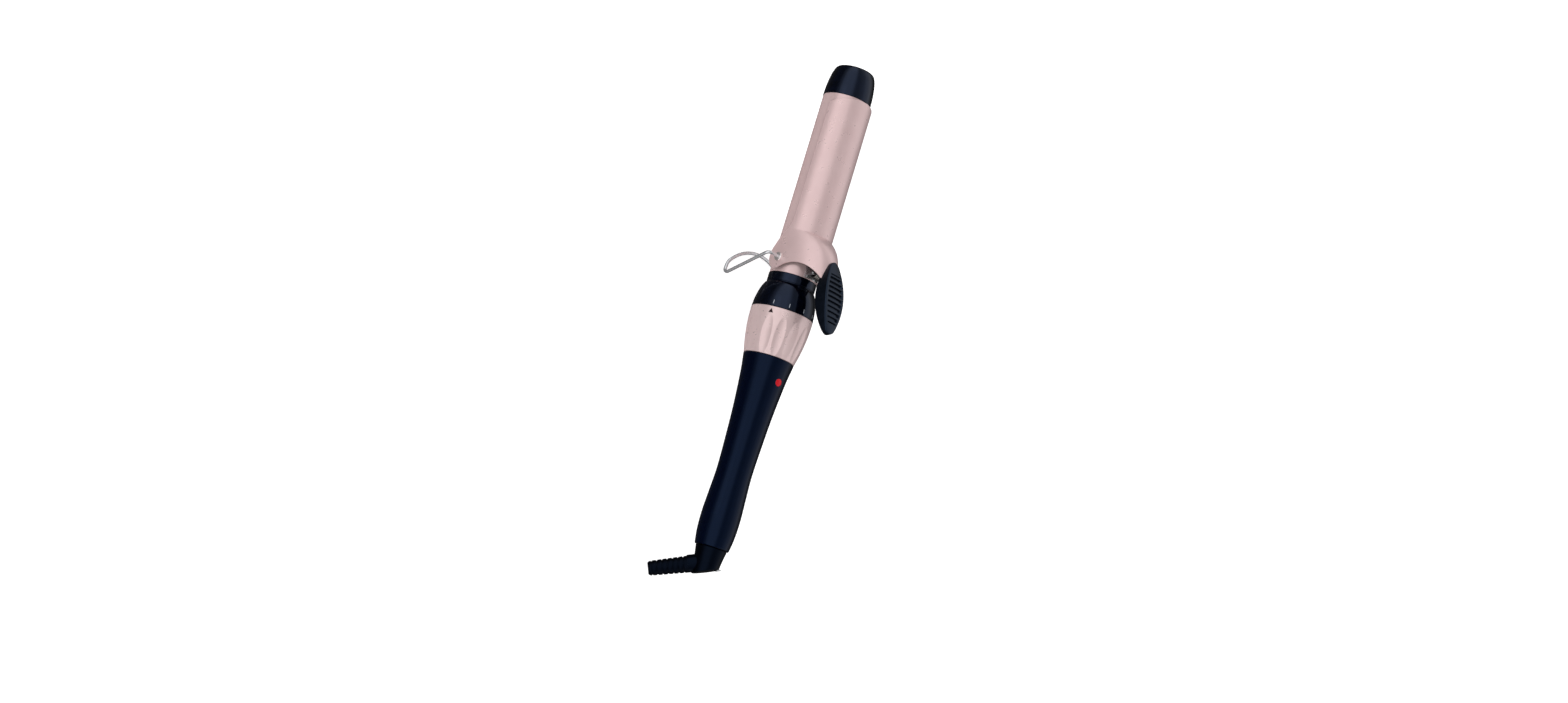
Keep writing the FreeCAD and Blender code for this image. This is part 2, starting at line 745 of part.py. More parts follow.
def pad_grooves():
    """Cross grooves for the thumb, which stop short of the pad's sides."""
    side_r = pad_side_arc()
    grooves = []
    for grip in range(PAD_GRIPS):
        u = PAD_GRIP_CENTRE + (grip - (PAD_GRIPS - 1) / 2) * PAD_GRIP_PITCH
        reach = math.sqrt(side_r ** 2 - u ** 2) - side_r + PAD_HALF_WIDTH - 1.9
        top = PAD_END_ABOVE + (PAD_CROWN - PAD_END_ABOVE) * (1 - (2 * u / PAD_LENGTH) ** 2)
        groove = block(u - 1.0, u + 1.0, -reach, reach, top - 1.4, top + 3)
        corners = [edge for edge in groove.Edges if abs(edge.tangentAt(edge.FirstParameter).z) > 0.9]
        grooves.append(groove.makeFillet(0.6, corners))
    return group(grooves)


def thumb_pad():
    """An oval grip over the tongue, crowned above and below, with cross grooves for the thumb."""
    half = PAD_LENGTH / 2
    side = (Outline(-half, -PAD_END_BELOW)
            .arc((0, -PAD_BELLY), (half, -PAD_END_BELOW))
            .line(half, PAD_END_ABOVE)
            .arc((0, PAD_CROWN), (-half, PAD_END_ABOVE)))
    pad = seen_from_above(pad_plan(), -20, 20).common(side.extruded(20))
    rims = [edge for edge in pad.Edges if abs(edge.tangentAt(edge.FirstParameter).z) < 0.9]
    pad = pad_place(pad.makeFillet(0.75, rims).cut(pad_grooves()))
    hood_front = hood_solid(0).common(block(-131.5, -90, -25, 25, -30, 60))
    return pad.cut(hood_front).cut(clip_shell()).cut(group(pad_screw_bodies(0.0)))


def pad_screw_bodies(extra):
    """Two screws up through the tongue into the pad, with extra radius for their holes in the sheet."""
    screws = []
    for u in PAD_SCREW_STATIONS:
        shank = rod(PAD_SCREW_R + extra, at(u, 0, -3.6), at(u, 0, PAD_SCREW_END))
        head = rod(PAD_SCREW_HEAD_R + extra, at(u, 0, -PAD_BELLY - 0.6), at(u, 0, -3.4))
        screws.append(pad_place(joined([shank, head])))
    return screws


def pad_screws():
    return group(pad_screw_bodies(0.0))


# ---------------------------------------------------------------- hinge, spring and stand

def hinge_rivets():
    """Tubular rivets in the barrel's wall: the clip's ears turn on them and the stand's ends sit in them."""
    shank = rod(RIVET_R, at(X_HINGE, 14.2, 0), at(X_HINGE, 18.4, 0))
    head = rod(RIVET_HEAD_R, at(X_HINGE, 18.2, 0), at(X_HINGE, 19.6, 0))
    head = head.makeFillet(0.7, [edge for edge in head.Edges if edge.CenterOfMass.y > 19.5])
    lip = rod(RIVET_R + 0.6, at(X_HINGE, 14.0, 0), at(X_HINGE, 14.55, 0))
    bore = rod(RIVET_BORE, at(X_HINGE, 12, 0), at(X_HINGE, 22, 0))
    return both_sides(joined([shank, head, lip]).cut(bore))


def hinge_washers():
    """Spacers that keep the clip's ears off the barrel."""
    washer = rod(3.0, at(X_HINGE, 15.2, 0), at(X_HINGE, 16.72, 0))
    bore = rod(RIVET_R + 0.02, at(X_HINGE, 14, 0), at(X_HINGE, 18, 0))
    return both_sides(washer.cut(disc(R_BARREL + 0.01, -100, -130)).cut(bore))


BRACKET_FRONT = -116.8
BRACKET_BACK = -125.4
BRACKET_HALF = 6.2
SPRING_X = -121.6
SPRING_Z = 20.9
SPRING_R = 2.9
SPRING_WIRE_R = 0.55
SPRING_TURNS = 5
SPRING_PITCH = 1.5


def spring_bracket():
    """A saddle on the barrel with two upright cheeks that hold the spring's pin."""
    inner = R_BARREL + 0.02
    saddle = ring(inner + 0.8, inner, BRACKET_FRONT, BRACKET_BACK)
    saddle = saddle.common(block(BRACKET_BACK, BRACKET_FRONT, -BRACKET_HALF, BRACKET_HALF, 10, 20))
    cheeks = []
    for y in (-BRACKET_HALF, BRACKET_HALF - 0.8):
        cheek = (Outline(BRACKET_FRONT, 15.2)
                 .lines((BRACKET_FRONT, 17.2), (SPRING_X + 2.6, 17.6), (SPRING_X + 2.2, SPRING_Z))
                 .arc((SPRING_X, SPRING_Z + 2.2), (SPRING_X - 2.2, SPRING_Z))
                 .lines((SPRING_X - 2.6, 17.6), (BRACKET_BACK, 17.2), (BRACKET_BACK, 15.2))
                 .face())
        cheek.translate(at(0, y, 0))
        cheeks.append(cheek.extrude(at(0, 0.8, 0)))
    bracket = joined([saddle] + cheeks).cut(disc(inner, -110, -130))
    pin_hole = rod(1.25, at(SPRING_X, -9, SPRING_Z), at(SPRING_X, 9, SPRING_Z))
    rivet_holes = [rod(1.0, at(-118.6, y, 10), at(-118.6, y, 20)) for y in (-3.4, 3.4)]
    return bracket.cut(pin_hole).cut(group(rivet_holes))


def bracket_rivets():
    rivets = []
    for y in (-3.4, 3.4):
        shank = rod(1.0, at(-118.6, y, 14.4), at(-118.6, y, 17.0))
        head = rod(1.7, at(-118.6, y, 16.75), at(-118.6, y, 17.35))
        rivets.append(joined([shank, head]))
    return group(rivets)


def spring_pin():
    pin = rod(1.25, at(SPRING_X, -7.4, SPRING_Z), at(SPRING_X, 6.6, SPRING_Z))
    head = rod(2.0, at(SPRING_X, -7.4, SPRING_Z), at(SPRING_X, -6.4, SPRING_Z))
    return joined([pin, head])


def clip_spring():
    """A torsion spring: coils about the bracket's pin, one leg on the saddle, one under the tongue."""
    height = SPRING_TURNS * SPRING_PITCH
    helix = Part.makeHelix(SPRING_PITCH, height, SPRING_R)
    profile = Part.Wire(Part.makeCircle(SPRING_WIRE_R, at(SPRING_R, 0, 0), ACROSS))
    coil = Part.Wire(helix.Edges).makePipeShell([profile], True, True)
    coil.rotate(CENTRE, ALONG, 90)
    coil.rotate(CENTRE, ACROSS, 90)
    coil.translate(at(SPRING_X, height / 2, SPRING_Z))
    near = height / 2
    low = SPRING_Z - SPRING_R
    low_leg = rod(SPRING_WIRE_R, at(SPRING_X, near, low), at(SPRING_X + 4.6, near, low))
    foot = at(SPRING_X - SPRING_R * 0.968, -near, SPRING_Z - SPRING_R * 0.25)
    high_leg = rod(SPRING_WIRE_R, foot, foot + at(-0.25, 0, 0.968) * 12.7)
    return group([coil, low_leg, high_leg])


def wire_bend(corner, before, after, radius):
    """The arc that rounds a corner of the wire, with its start and end points."""
    way_in = (corner - before).normalize()
    way_out = (after - corner).normalize()
    turn = way_in.getAngle(way_out)
    back = radius * math.tan(turn / 2)
    start = corner - way_in * back
    end = corner + way_out * back
    bisector = (way_out - way_in).normalize()
    centre = corner + bisector * (radius / math.cos(turn / 2))
    middle = centre - bisector * radius
    return start, middle, end


def stand_wire():
    """One bent wire: two ends in the rivets, two slanted legs and an arched foot that lies flat."""
    arch_angle = math.radians(STAND_ARCH_ANGLE)
    side_angle = math.radians(STAND_SIDE_ANGLE)
    sin_arch, cos_arch = math.sin(arch_angle), math.cos(arch_angle)
    sin_side, cos_side = math.sin(side_angle), math.cos(side_angle)
    # The toe is an arch of radius r between two bends and two straight sides of length s:
    # r sin_arch + s cos_side = width left over by the bends, r (1 - cos_arch) + s sin_side = reach left over
    width = STAND_HALF_WIDTH - STAND_TOE_R * (sin_side - sin_arch)
    reach = STAND_REACH - STAND_TOE_R * (cos_arch - cos_side)
    scale = sin_arch * sin_side - (1 - cos_arch) * cos_side
    arch_r = (width * sin_side - reach * cos_side) / scale
    side_length = (reach * sin_arch - width * (1 - cos_arch)) / scale
    floor = -STAND_DROP
    heel_x = X_HINGE - STAND_BACK
    end = at(X_HINGE, 14.6, 0)
    knee = at(X_HINGE, STAND_HALF_WIDTH, 0)
    heel = at(heel_x, STAND_HALF_WIDTH, floor)
    crown = at(heel_x + STAND_REACH, 0, floor)
    toe_start = heel + at(side_length * sin_side, -side_length * cos_side, 0)
    toe_end = crown + at(-arch_r * (1 - cos_arch), arch_r * sin_arch, 0)
    toe_centre = toe_start + at(-STAND_TOE_R * cos_side, -STAND_TOE_R * sin_side, 0)
    toe_middle_angle = (arch_angle + side_angle) / 2
    toe_middle = toe_centre + at(math.cos(toe_middle_angle), math.sin(toe_middle_angle), 0) * STAND_TOE_R
    knee_arc = wire_bend(knee, end, heel, STAND_BEND_R)
    heel_arc = wire_bend(heel, knee, toe_start, STAND_BEND_R)
    half = [Part.LineSegment(end, knee_arc[0]).toShape(),
            Part.Arc(*knee_arc).toShape(),
            Part.LineSegment(knee_arc[2], heel_arc[0]).toShape(),
            Part.Arc(*heel_arc).toShape(),
            Part.LineSegment(heel_arc[2], toe_start).toShape(),
            Part.Arc(toe_start, toe_middle, toe_end).toShape()]
    far_toe_end = at(toe_end.x, -toe_end.y, toe_end.z)
    arch = Part.Arc(toe_end, crown, far_toe_end).toShape()
    far_half = [edge.mirror(CENTRE, ACROSS) for edge in reversed(half)]
    path = Part.Wire(half + [arch] + far_half)
    profile = Part.Wire(Part.makeCircle(WIRE_R, end, ACROSS))
    return path.makePipeShell([profile], True, False)


# ---------------------------------------------------------------- the whole iron

def nodes():
    return {
        "cool_tip": cool_tip(),
        "tip_insulator": tip_insulator(),
        "barrel": barrel(),
        "heat_spreader_upper": heat_spreader(1, 2.1),
        "heat_spreader_lower": heat_spreader(-1, 3.7),
        "ptc_heater": ptc_heater(),
        "heater_spring": heater_spring(),
        "temperature_sensor": temperature_sensor(),
        "thermal_fuse": thermal_fuse(),
        "mica_washer": mica_washer(),
        "heater_leads": heater_leads(),
        "collar_bell": collar_bell(),
        "collar_screws": collar_screws(),
        "dial_ring": dial_ring(),
        "selector_board": selector_board(),
        "selector_wiper": selector_wiper(),
        "detent_spring": detent_spring(),
        "chassis_upper": chassis_half(1),
        "chassis_lower": chassis_half(-1),
        "chassis_screws": chassis_screws(),
        "handle_sleeve": handle_sleeve(),
        "led_lens": led_lens(),
        "led": led(),
        "control_board": control_board(),
        "board_components": board_components(),
        "supply_leads": supply_leads(),
        "brush_contacts": brush_contacts(),
        "slip_carrier": slip_carrier(),
        "slip_rings": slip_rings(),
        "swivel_elbow": swivel_elbow(),
        "elbow_cover": elbow_cover(),
        "cover_screw": cover_screw(),
        "cord_clamp": cord_clamp(),
        "strain_relief": strain_relief(),
        "clip_shell": clip_shell(),
        "thumb_pad": thumb_pad(),
        "pad_screws": pad_screws(),
        "hinge_rivets": hinge_rivets(),
        "hinge_washers": hinge_washers(),
        "spring_bracket": spring_bracket(),
        "bracket_rivets": bracket_rivets(),
        "spring_pin": spring_pin(),
        "clip_spring": clip_spring(),
        "stand_wire": stand_wire(),
    }


def main():
    os.makedirs(PARTS, exist_ok=True)
    whole = FreeCAD.BoundBox()
    for name, shape in nodes().items():
        shape.translate(at(AXIS_X, 0, AXIS_Z))
        shape.exportStep(f"{PARTS}/{name}.step")
        whole.add(shape.BoundBox)
        box = shape.BoundBox
        sizes = f"{box.XLength:.1f} x {box.YLength:.1f} x {box.ZLength:.1f}"
        print(f"{name}: {sizes}, {len(shape.Solids)} solids, {shape.Volume:.0f} mm3, valid {shape.isValid()}")
    print(f"whole: X {whole.XMin:.2f} to {whole.XMax:.2f}, Y {whole.YMin:.2f} to {whole.YMax:.2f},"
          f" Z {whole.ZMin:.2f} to {whole.ZMax:.2f}")


main()
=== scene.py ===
"""Looks of the clip-type curling iron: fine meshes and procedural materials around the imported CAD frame.

Lengths in the drawing code are millimetres in the iron's own frame: x = 0 where the cool tip meets the barrel,
+x towards the tip, y = z = 0 on the iron's axis, +z towards the clip. place() turns them into the row's metres.
"""
import bmesh
import bpy
import json
import math
from mathutils import Matrix, Vector


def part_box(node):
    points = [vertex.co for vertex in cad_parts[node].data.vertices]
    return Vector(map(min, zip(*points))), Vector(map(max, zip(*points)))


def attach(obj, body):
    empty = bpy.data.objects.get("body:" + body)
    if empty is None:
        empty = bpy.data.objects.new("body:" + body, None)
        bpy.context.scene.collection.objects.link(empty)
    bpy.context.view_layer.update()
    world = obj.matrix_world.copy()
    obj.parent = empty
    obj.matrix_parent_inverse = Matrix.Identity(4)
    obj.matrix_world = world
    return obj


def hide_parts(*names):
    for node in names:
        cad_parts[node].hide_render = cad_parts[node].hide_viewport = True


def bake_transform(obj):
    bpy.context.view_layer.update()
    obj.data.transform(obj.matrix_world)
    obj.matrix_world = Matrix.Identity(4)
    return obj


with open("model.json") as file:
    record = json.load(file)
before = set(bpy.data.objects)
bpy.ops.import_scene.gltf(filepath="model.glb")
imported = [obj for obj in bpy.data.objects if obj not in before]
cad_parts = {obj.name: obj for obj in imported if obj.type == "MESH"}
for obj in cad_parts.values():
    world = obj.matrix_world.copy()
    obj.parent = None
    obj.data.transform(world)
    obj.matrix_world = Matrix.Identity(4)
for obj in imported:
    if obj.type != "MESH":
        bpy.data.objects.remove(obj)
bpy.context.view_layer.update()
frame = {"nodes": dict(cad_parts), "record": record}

MM = 0.001
BARREL_LOW, BARREL_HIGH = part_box("barrel")
ORIGIN_X = BARREL_HIGH.x
ORIGIN_Z = (BARREL_LOW.z + BARREL_HIGH.z) / 2
R_BARREL = (BARREL_HIGH.z - BARREL_LOW.z) / 2 / MM

X_COLLAR = -126.0
X_DIAL = -150.5
X_HANDLE = -181.5
X_TAIL = -309.5
X_HINGE = -117.0
X_CREASE = -97.0
X_LED = -196.0
R_DIAL = 20.8
R_DIAL_TAIL = 16.95
SHEET = 0.85
R_SPOON = 17.25
AXIAL = Vector((1, 0, 0))


def place(x, y, z):
    """A point of the iron's frame, in millimetres, as metres in the row's frame."""
    return Vector((ORIGIN_X + x * MM, y * MM, ORIGIN_Z + z * MM))


# ---------------------------------------------------------------- materials

def noise_node(tree, coords, scale, detail=4.0, roughness=0.55):
    node = tree.nodes.new("ShaderNodeTexNoise")
    node.inputs["Scale"].default_value = scale
    node.inputs["Detail"].default_value = detail
    node.inputs["Roughness"].default_value = roughness
    tree.links.new(coords, node.inputs["Vector"])
    return node.outputs["Fac"]


def ranged(tree, value, low, high, from_low=0.3, from_high=0.7):
    node = tree.nodes.new("ShaderNodeMapRange")
    node.inputs["From Min"].default_value = from_low
    node.inputs["From Max"].default_value = from_high
    node.inputs["To Min"].default_value = low
    node.inputs["To Max"].default_value = high
    tree.links.new(value, node.inputs["Value"])
    return node.outputs["Result"]


ROUGHNESS_SPREAD = 0.12
PATCH_FINENESS = 2.3
RELIEF_DEPTH = 0.0002


def surface(name, dark, light, rough, metallic=0.0, cloud=260.0, grain=5200.0, bump=0.02, stretch=(1, 1, 1),
            specular=0.5, tint=(1, 1, 1)):
    """A procedural material: clouded colour, uneven roughness and a fine grained relief."""
    material = bpy.data.materials.new(name)
    material.use_nodes = True
    tree = material.node_tree
    shader = tree.nodes["Principled BSDF"]
    coords = tree.nodes.new("ShaderNodeTexCoord")
    mapping = tree.nodes.new("ShaderNodeMapping")
    mapping.inputs["Scale"].default_value = stretch
    tree.links.new(coords.outputs["Object"], mapping.inputs["Vector"])
    where = mapping.outputs["Vector"]
    mix = tree.nodes.new("ShaderNodeMix")
    mix.data_type = "RGBA"
    mix.inputs["A"].default_value = (*dark, 1)
    mix.inputs["B"].default_value = (*light, 1)
    tree.links.new(ranged(tree, noise_node(tree, where, cloud), 0, 1), mix.inputs["Factor"])
    tree.links.new(mix.outputs["Result"], shader.inputs["Base Color"])
    spread = rough * ROUGHNESS_SPREAD
    patches = noise_node(tree, where, cloud * PATCH_FINENESS, 6.0)
    tree.links.new(ranged(tree, patches, rough - spread, rough + spread), shader.inputs["Roughness"])
    relief = tree.nodes.new("ShaderNodeBump")
    relief.inputs["Strength"].default_value = bump
    relief.inputs["Distance"].default_value = RELIEF_DEPTH
    tree.links.new(noise_node(tree, where, grain, 2.0), relief.inputs["Height"])
    tree.links.new(relief.outputs["Normal"], shader.inputs["Normal"])
    shader.inputs["Metallic"].default_value = metallic
    shader.inputs["Specular IOR Level"].default_value = specular
    shader.inputs["Specular Tint"].default_value = (*tint, 1)
    return material


NAVY = (0.30, 0.50, 1.0)
INK_BLUE = (0.45, 0.60, 1.0)
COAL = (0.0001, 0.0002, 0.0007)
SLATE = (0.0003, 0.0005, 0.0016)
NAVY_LOW = (0.0001, 0.0008, 0.005)
NAVY_HIGH = (0.0002, 0.0013, 0.0075)
ROSE_LOW = (0.70, 0.51, 0.508)
ROSE_HIGH = (0.73, 0.54, 0.538)
ROSE = surface("rose_satin", ROSE_LOW, ROSE_HIGH, 0.30, 0.35, cloud=90.0, bump=0.004)
ROSE_BARREL = surface("rose_barrel", ROSE_LOW, ROSE_HIGH, 0.24, 0.35, cloud=90.0, bump=0.003)
# painted shade: a dark rose for the clip sheet's inner face, standing in for the shadow inside the hood and ears
ROSE_PAINTED_SHADE_INSIDE = surface("rose_inside_painted_shade", (0.16, 0.105, 0.105), (0.22, 0.15, 0.15), 0.5, 0.2, cloud=150.0)
ROSE_DIAL = surface("rose_dial", (0.72, 0.545, 0.54), (0.75, 0.58, 0.575), 0.30, 0.35, cloud=150.0, bump=0.004)
ROSE_RIVET = surface("rose_rivet", (0.86, 0.76, 0.75), (0.92, 0.84, 0.83), 0.22, 0.80, cloud=400.0, bump=0.004)
BLACK_GLOSS = surface("black_gloss", COAL, (0.0006, 0.0012, 0.005), 0.14, specular=0.42, tint=INK_BLUE,
                      bump=0.003)
BLACK_GRIP = surface("black_grip", NAVY_LOW, NAVY_HIGH, 0.15, specular=0.23, tint=NAVY, bump=0.004)
BLACK_ELBOW = surface("black_elbow", COAL, SLATE, 0.30, specular=0.12, tint=NAVY, bump=0.006)
BLACK_PAD = surface("black_pad", COAL, (0.001, 0.0014, 0.003), 0.34, specular=0.50, tint=(0.4, 0.6, 1.0))
BLACK_RUBBER = surface("black_rubber", COAL, (0.0008, 0.001, 0.002), 0.36, specular=0.10, tint=NAVY)
CHROME = surface("chrome_wire", (0.62, 0.63, 0.65), (0.72, 0.73, 0.75), 0.24, 0.75, cloud=500.0)
SPRING = surface("spring_steel", (0.20, 0.19, 0.18), (0.32, 0.30, 0.28), 0.32, 1.0, cloud=600.0)
ZINC = surface("zinc_steel", (0.55, 0.56, 0.57), (0.66, 0.67, 0.69), 0.28, 1.0, cloud=500.0)
ALLOY = surface("alloy", (0.60, 0.60, 0.61), (0.72, 0.72, 0.73), 0.38, 1.0, cloud=200.0, stretch=(0.1, 1, 1))
CERAMIC = surface("ceramic", (0.62, 0.60, 0.55), (0.78, 0.76, 0.71), 0.55)
MICA = surface("mica", (0.36, 0.29, 0.19), (0.55, 0.47, 0.34), 0.45, cloud=700.0)
SLEEVING = surface("sleeving", (0.66, 0.65, 0.60), (0.84, 0.83, 0.79), 0.8, cloud=1800.0, bump=0.3)
INNER = surface("inner_plastic", (0.02, 0.02, 0.023), (0.045, 0.045, 0.05), 0.5)
BOARD = surface("board_green", (0.01, 0.10, 0.04), (0.02, 0.17, 0.07), 0.4, cloud=900.0)
PARTS = surface("board_parts", (0.30, 0.18, 0.03), (0.52, 0.34, 0.07), 0.4, cloud=300.0)
BRASS = surface("contact_brass", (0.55, 0.38, 0.13), (0.70, 0.52, 0.22), 0.25, 1.0, cloud=500.0)
LENS = surface("lens_red", (0.55, 0.001, 0.008), (0.70, 0.002, 0.015), 0.15, specular=0.25)
BULB = surface("bulb_red", (0.5, 0.02, 0.02), (0.7, 0.05, 0.05), 0.2)
PVC = surface("lead_pvc", (0.30, 0.02, 0.02), (0.45, 0.04, 0.04), 0.4)
INK = surface("white_ink", (0.30, 0.33, 0.38), (0.42, 0.45, 0.50), 0.5, cloud=1500.0)
POINTER = surface("pointer_ink", (0.012, 0.004, 0.006), (0.022, 0.008, 0.010), 0.45, cloud=1500.0, specular=0.1)

BY_SLOT = {
    "barrel_coat": ROSE_BARREL, "clip_sheet": ROSE, "plated_plastic": ROSE_DIAL, "black_gloss": BLACK_GLOSS,
    "black_grip": BLACK_GRIP, "black_rubber": BLACK_RUBBER, "rivet_metal": ROSE_RIVET, "wire_chrome": CHROME,
    "spring_steel": SPRING, "zinc_steel": ZINC, "alloy": ALLOY, "ceramic": CERAMIC, "mica": MICA,
    "sleeving": SLEEVING, "inner_plastic": INNER, "board": BOARD, "parts_mixed": PARTS, "contact_brass": BRASS,
    "lens_red": LENS, "bulb_red": BULB, "wire_pvc": PVC,
}
SLOT_OF = {part["node"]: part["material_slot"] for part in frame["record"]["subparts"]}
BODY_OF = {node: body for body, nodes in frame["record"]["behaviour"]["bodies"].items() for node in nodes}

for node, cad_object in frame["nodes"].items():
    cad_object.data.materials.clear()
    cad_object.data.materials.append(BY_SLOT[SLOT_OF[node]])
for node in ("swivel_elbow", "elbow_cover"):
    frame["nodes"][node].data.materials[0] = BLACK_ELBOW


# ---------------------------------------------------------------- meshes

def face_outwards(mesh):
    """Turns the faces of a closed mesh outwards; an open sheet stays as it is."""
    shape = bmesh.new()
    shape.from_mesh(mesh)
    closed = all(edge.is_manifold for edge in shape.edges)
    inside_out = closed and shape.calc_volume(signed=True) < 0
    shape.free()
    if inside_out:
        mesh.flip_normals()


def piece(name, points, faces, material, node=None, body=None, sharp=32.0):
    """A mesh of the iron, from points in its own frame. It takes the place of the CAD node it is named for."""
    mesh = bpy.data.meshes.new(name)
    mesh.from_pydata([place(*p) for p in points], [], faces)
    mesh.validate()
    face_outwards(mesh)
    mesh.polygons.foreach_set("use_smooth", [True] * len(mesh.polygons))
    mesh.set_sharp_from_angle(angle=math.radians(sharp))
    mesh.materials.append(material)
    made = bpy.data.objects.new(name, mesh)
    bpy.context.scene.collection.objects.link(made)
    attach(made, body or BODY_OF[node])
    if node:
        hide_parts(node)
    return made


def rounded(points, steps=6):
    """A line through (x, r, fillet) points with every corner rounded to its fillet."""
    line = []
    count = len(points)
    for i, (x, r, fillet) in enumerate(points):
        here = Vector((x, r))
        if fillet <= 0 or i in (0, count - 1):
            line.append((x, r))
            continue
        before = Vector(points[i - 1][:2])
        after = Vector(points[i + 1][:2])
        way_in = (before - here)
        way_out = (after - here)
        reach = min(fillet, way_in.length * 0.49, way_out.length * 0.49)
        start = here + way_in.normalized() * reach
        end = here + way_out.normalized() * reach
        for step in range(steps + 1):
            t = step / steps
            p = start * (1 - t) ** 2 + here * 2 * t * (1 - t) + end * t * t
            line.append((p.x, p.y))
    return line


def smooth_line(points, per_span=8):
    """A Catmull-Rom curve through points, with chord-length spacing."""
    pts = [Vector(p) for p in points]
    pts = [pts[0] * 2 - pts[1]] + pts + [pts[-1] * 2 - pts[-2]]
    line = []
    for i in range(1, len(pts) - 2):
        p0, p1, p2, p3 = pts[i - 1:i + 3]
        t0 = 0.0
        t1 = t0 + (p1 - p0).length ** 0.5
        t2 = t1 + (p2 - p1).length ** 0.5
        t3 = t2 + (p3 - p2).length ** 0.5
        for step in range(per_span):
            t = t1 + (t2 - t1) * step / per_span
            a1 = p0 * ((t1 - t) / (t1 - t0)) + p1 * ((t - t0) / (t1 - t0))
            a2 = p1 * ((t2 - t) / (t2 - t1)) + p2 * ((t - t1) / (t2 - t1))
            a3 = p2 * ((t3 - t) / (t3 - t2)) + p3 * ((t - t2) / (t3 - t2))
            b1 = a1 * ((t2 - t) / (t2 - t0)) + a2 * ((t - t0) / (t2 - t0))
            b2 = a2 * ((t3 - t) / (t3 - t1)) + a3 * ((t - t1) / (t3 - t1))
            line.append(tuple(b1 * ((t2 - t) / (t2 - t1)) + b2 * ((t - t1) / (t2 - t1))))
    line.append(tuple(points[-1]))
    return line


SEGMENTS = 192


def lathe(line, segments=SEGMENTS, radius=None, closed=True):
    """Turns a line of (x, r) about the iron's axis. radius(x, r, angle) may change a point's radius.
    A closed line makes a ring; an open one starts and ends on the axis."""
    points, faces, rings = [], [], []
    for x, r in line:
        if r < 1e-6:
            rings.append([len(points)] * segments)
            points.append((x, 0.0, 0.0))
            continue
        first = len(points)
        for k in range(segments):
            angle = 2 * math.pi * k / segments
            rr = radius(x, r, angle) if radius else r
            points.append((x, rr * math.cos(angle), rr * math.sin(angle)))
        rings.append(list(range(first, first + segments)))
    pairs = list(zip(rings, rings[1:]))
    if closed:
        pairs.append((rings[-1], rings[0]))
    for a, b in pairs:
        for k in range(segments):
            n = (k + 1) % segments
            face = [a[k], a[n], b[n], b[k]]
            faces.append([v for i, v in enumerate(face) if v not in face[:i]])
    return points, [f for f in faces if len(f) > 2]


def moved(points, start, direction):
    """Turns points drawn about the x axis so that x runs along direction, from start."""
    turn = AXIAL.rotation_difference(Vector(direction))
    return [tuple(Vector(start) + turn @ Vector(p)) for p in points]


def tube(path, radius, segments=20, caps=True):
    """A round bar along a path of points, with its section carried along without twist."""
    pts = [Vector(p) for p in path]
    tangents = []
    for i in range(len(pts)):
        tangents.append((pts[min(i + 1, len(pts) - 1)] - pts[max(i - 1, 0)]).normalized())
    side = tangents[0].orthogonal().normalized()
    points, faces = [], []
    for i, (p, tangent) in enumerate(zip(pts, tangents)):
        if i:
            side = tangents[i - 1].rotation_difference(tangent) @ side
        up = tangent.cross(side)
        for k in range(segments):
            a = 2 * math.pi * k / segments
            points.append(tuple(p + (side * math.cos(a) + up * math.sin(a)) * radius))
    for i in range(len(pts) - 1):
        for k in range(segments):
            n = (k + 1) % segments
            faces.append([i * segments + k, i * segments + n, (i + 1) * segments + n, (i + 1) * segments + k])
    if caps:
        faces.append([k for k in reversed(range(segments))])
        last = (len(pts) - 1) * segments
        faces.append([last + k for k in range(segments)])
    return points, faces


def together(*shapes):
    """Several (points, faces) shapes as one."""
    points, faces = [], []
    for p, f in shapes:
        base = len(points)
        points += p
        faces += [[v + base for v in face] for face in f]
    return points, faces


# ---------------------------------------------------------------- cool tip, barrel, collar

def make_cool_tip():
    outer = smooth_line([(0.25, 16.3), (6.0, 16.1), (12.0, 15.5), (17.0, 14.55), (19.9, 13.55)], 8)
    rim = smooth_line([(20.6, 13.15), (21.3, 12.4), (21.75, 11.3), (22.1, 9.6), (22.35, 6.5), (22.5, 2.5)], 6)
    line = [(0.0, 15.15), (0.0, 16.1), (0.08, 16.24)] + outer + rim + [(22.5, 0.0)]
    inner = [(19.6, 0.0), (19.0, 8.0), (15.0, 11.7), (8.0, 13.2), (-9.0, 13.2), (-9.0, 15.05), (-0.1, 15.05)]
    points, faces = lathe(line, closed=False)
    more_points, more_faces = lathe(inner, closed=False)
    # joins the inner wall to the outer one at the spigot's shoulder
    base = len(points)
    points += more_points
    faces += [[v + base for v in f] for f in more_faces]
    last = base + len(more_points) - SEGMENTS
    for k in range(SEGMENTS):
        n = (k + 1) % SEGMENTS
        faces.append([last + k, last + n, n, k])
    piece("cool_tip_cap", points, faces, BLACK_GLOSS, "cool_tip")


def make_barrel():
    r = R_BARREL
    line = rounded([(-0.3, r - 0.9, 0), (-0.05, r - 0.9, 0), (-0.05, r, 0.2), (X_COLLAR + 0.05, r, 0.2),
                    (X_COLLAR + 0.05, r - 0.9, 0), (-60.0, r - 0.9, 0)])
    points, faces = lathe(line)
    piece("barrel_tube", points, faces, ROSE_BARREL, "barrel")


BELL_OUTER = [(-132.3, 16.2), (-134.0, 17.35), (-138.5, 19.1), (-144.5, 20.35), (-150.1, 20.8)]


def bell_radius(x):
    """Outer radius of the collar's skirt at x."""
    line = smooth_line(BELL_OUTER, 12)
    for (x0, r0), (x1, r1) in zip(line, line[1:]):
        if x1 <= x <= x0:
            return r0 + (r1 - r0) * (x - x0) / (x1 - x0)
    return BELL_OUTER[-1][1]


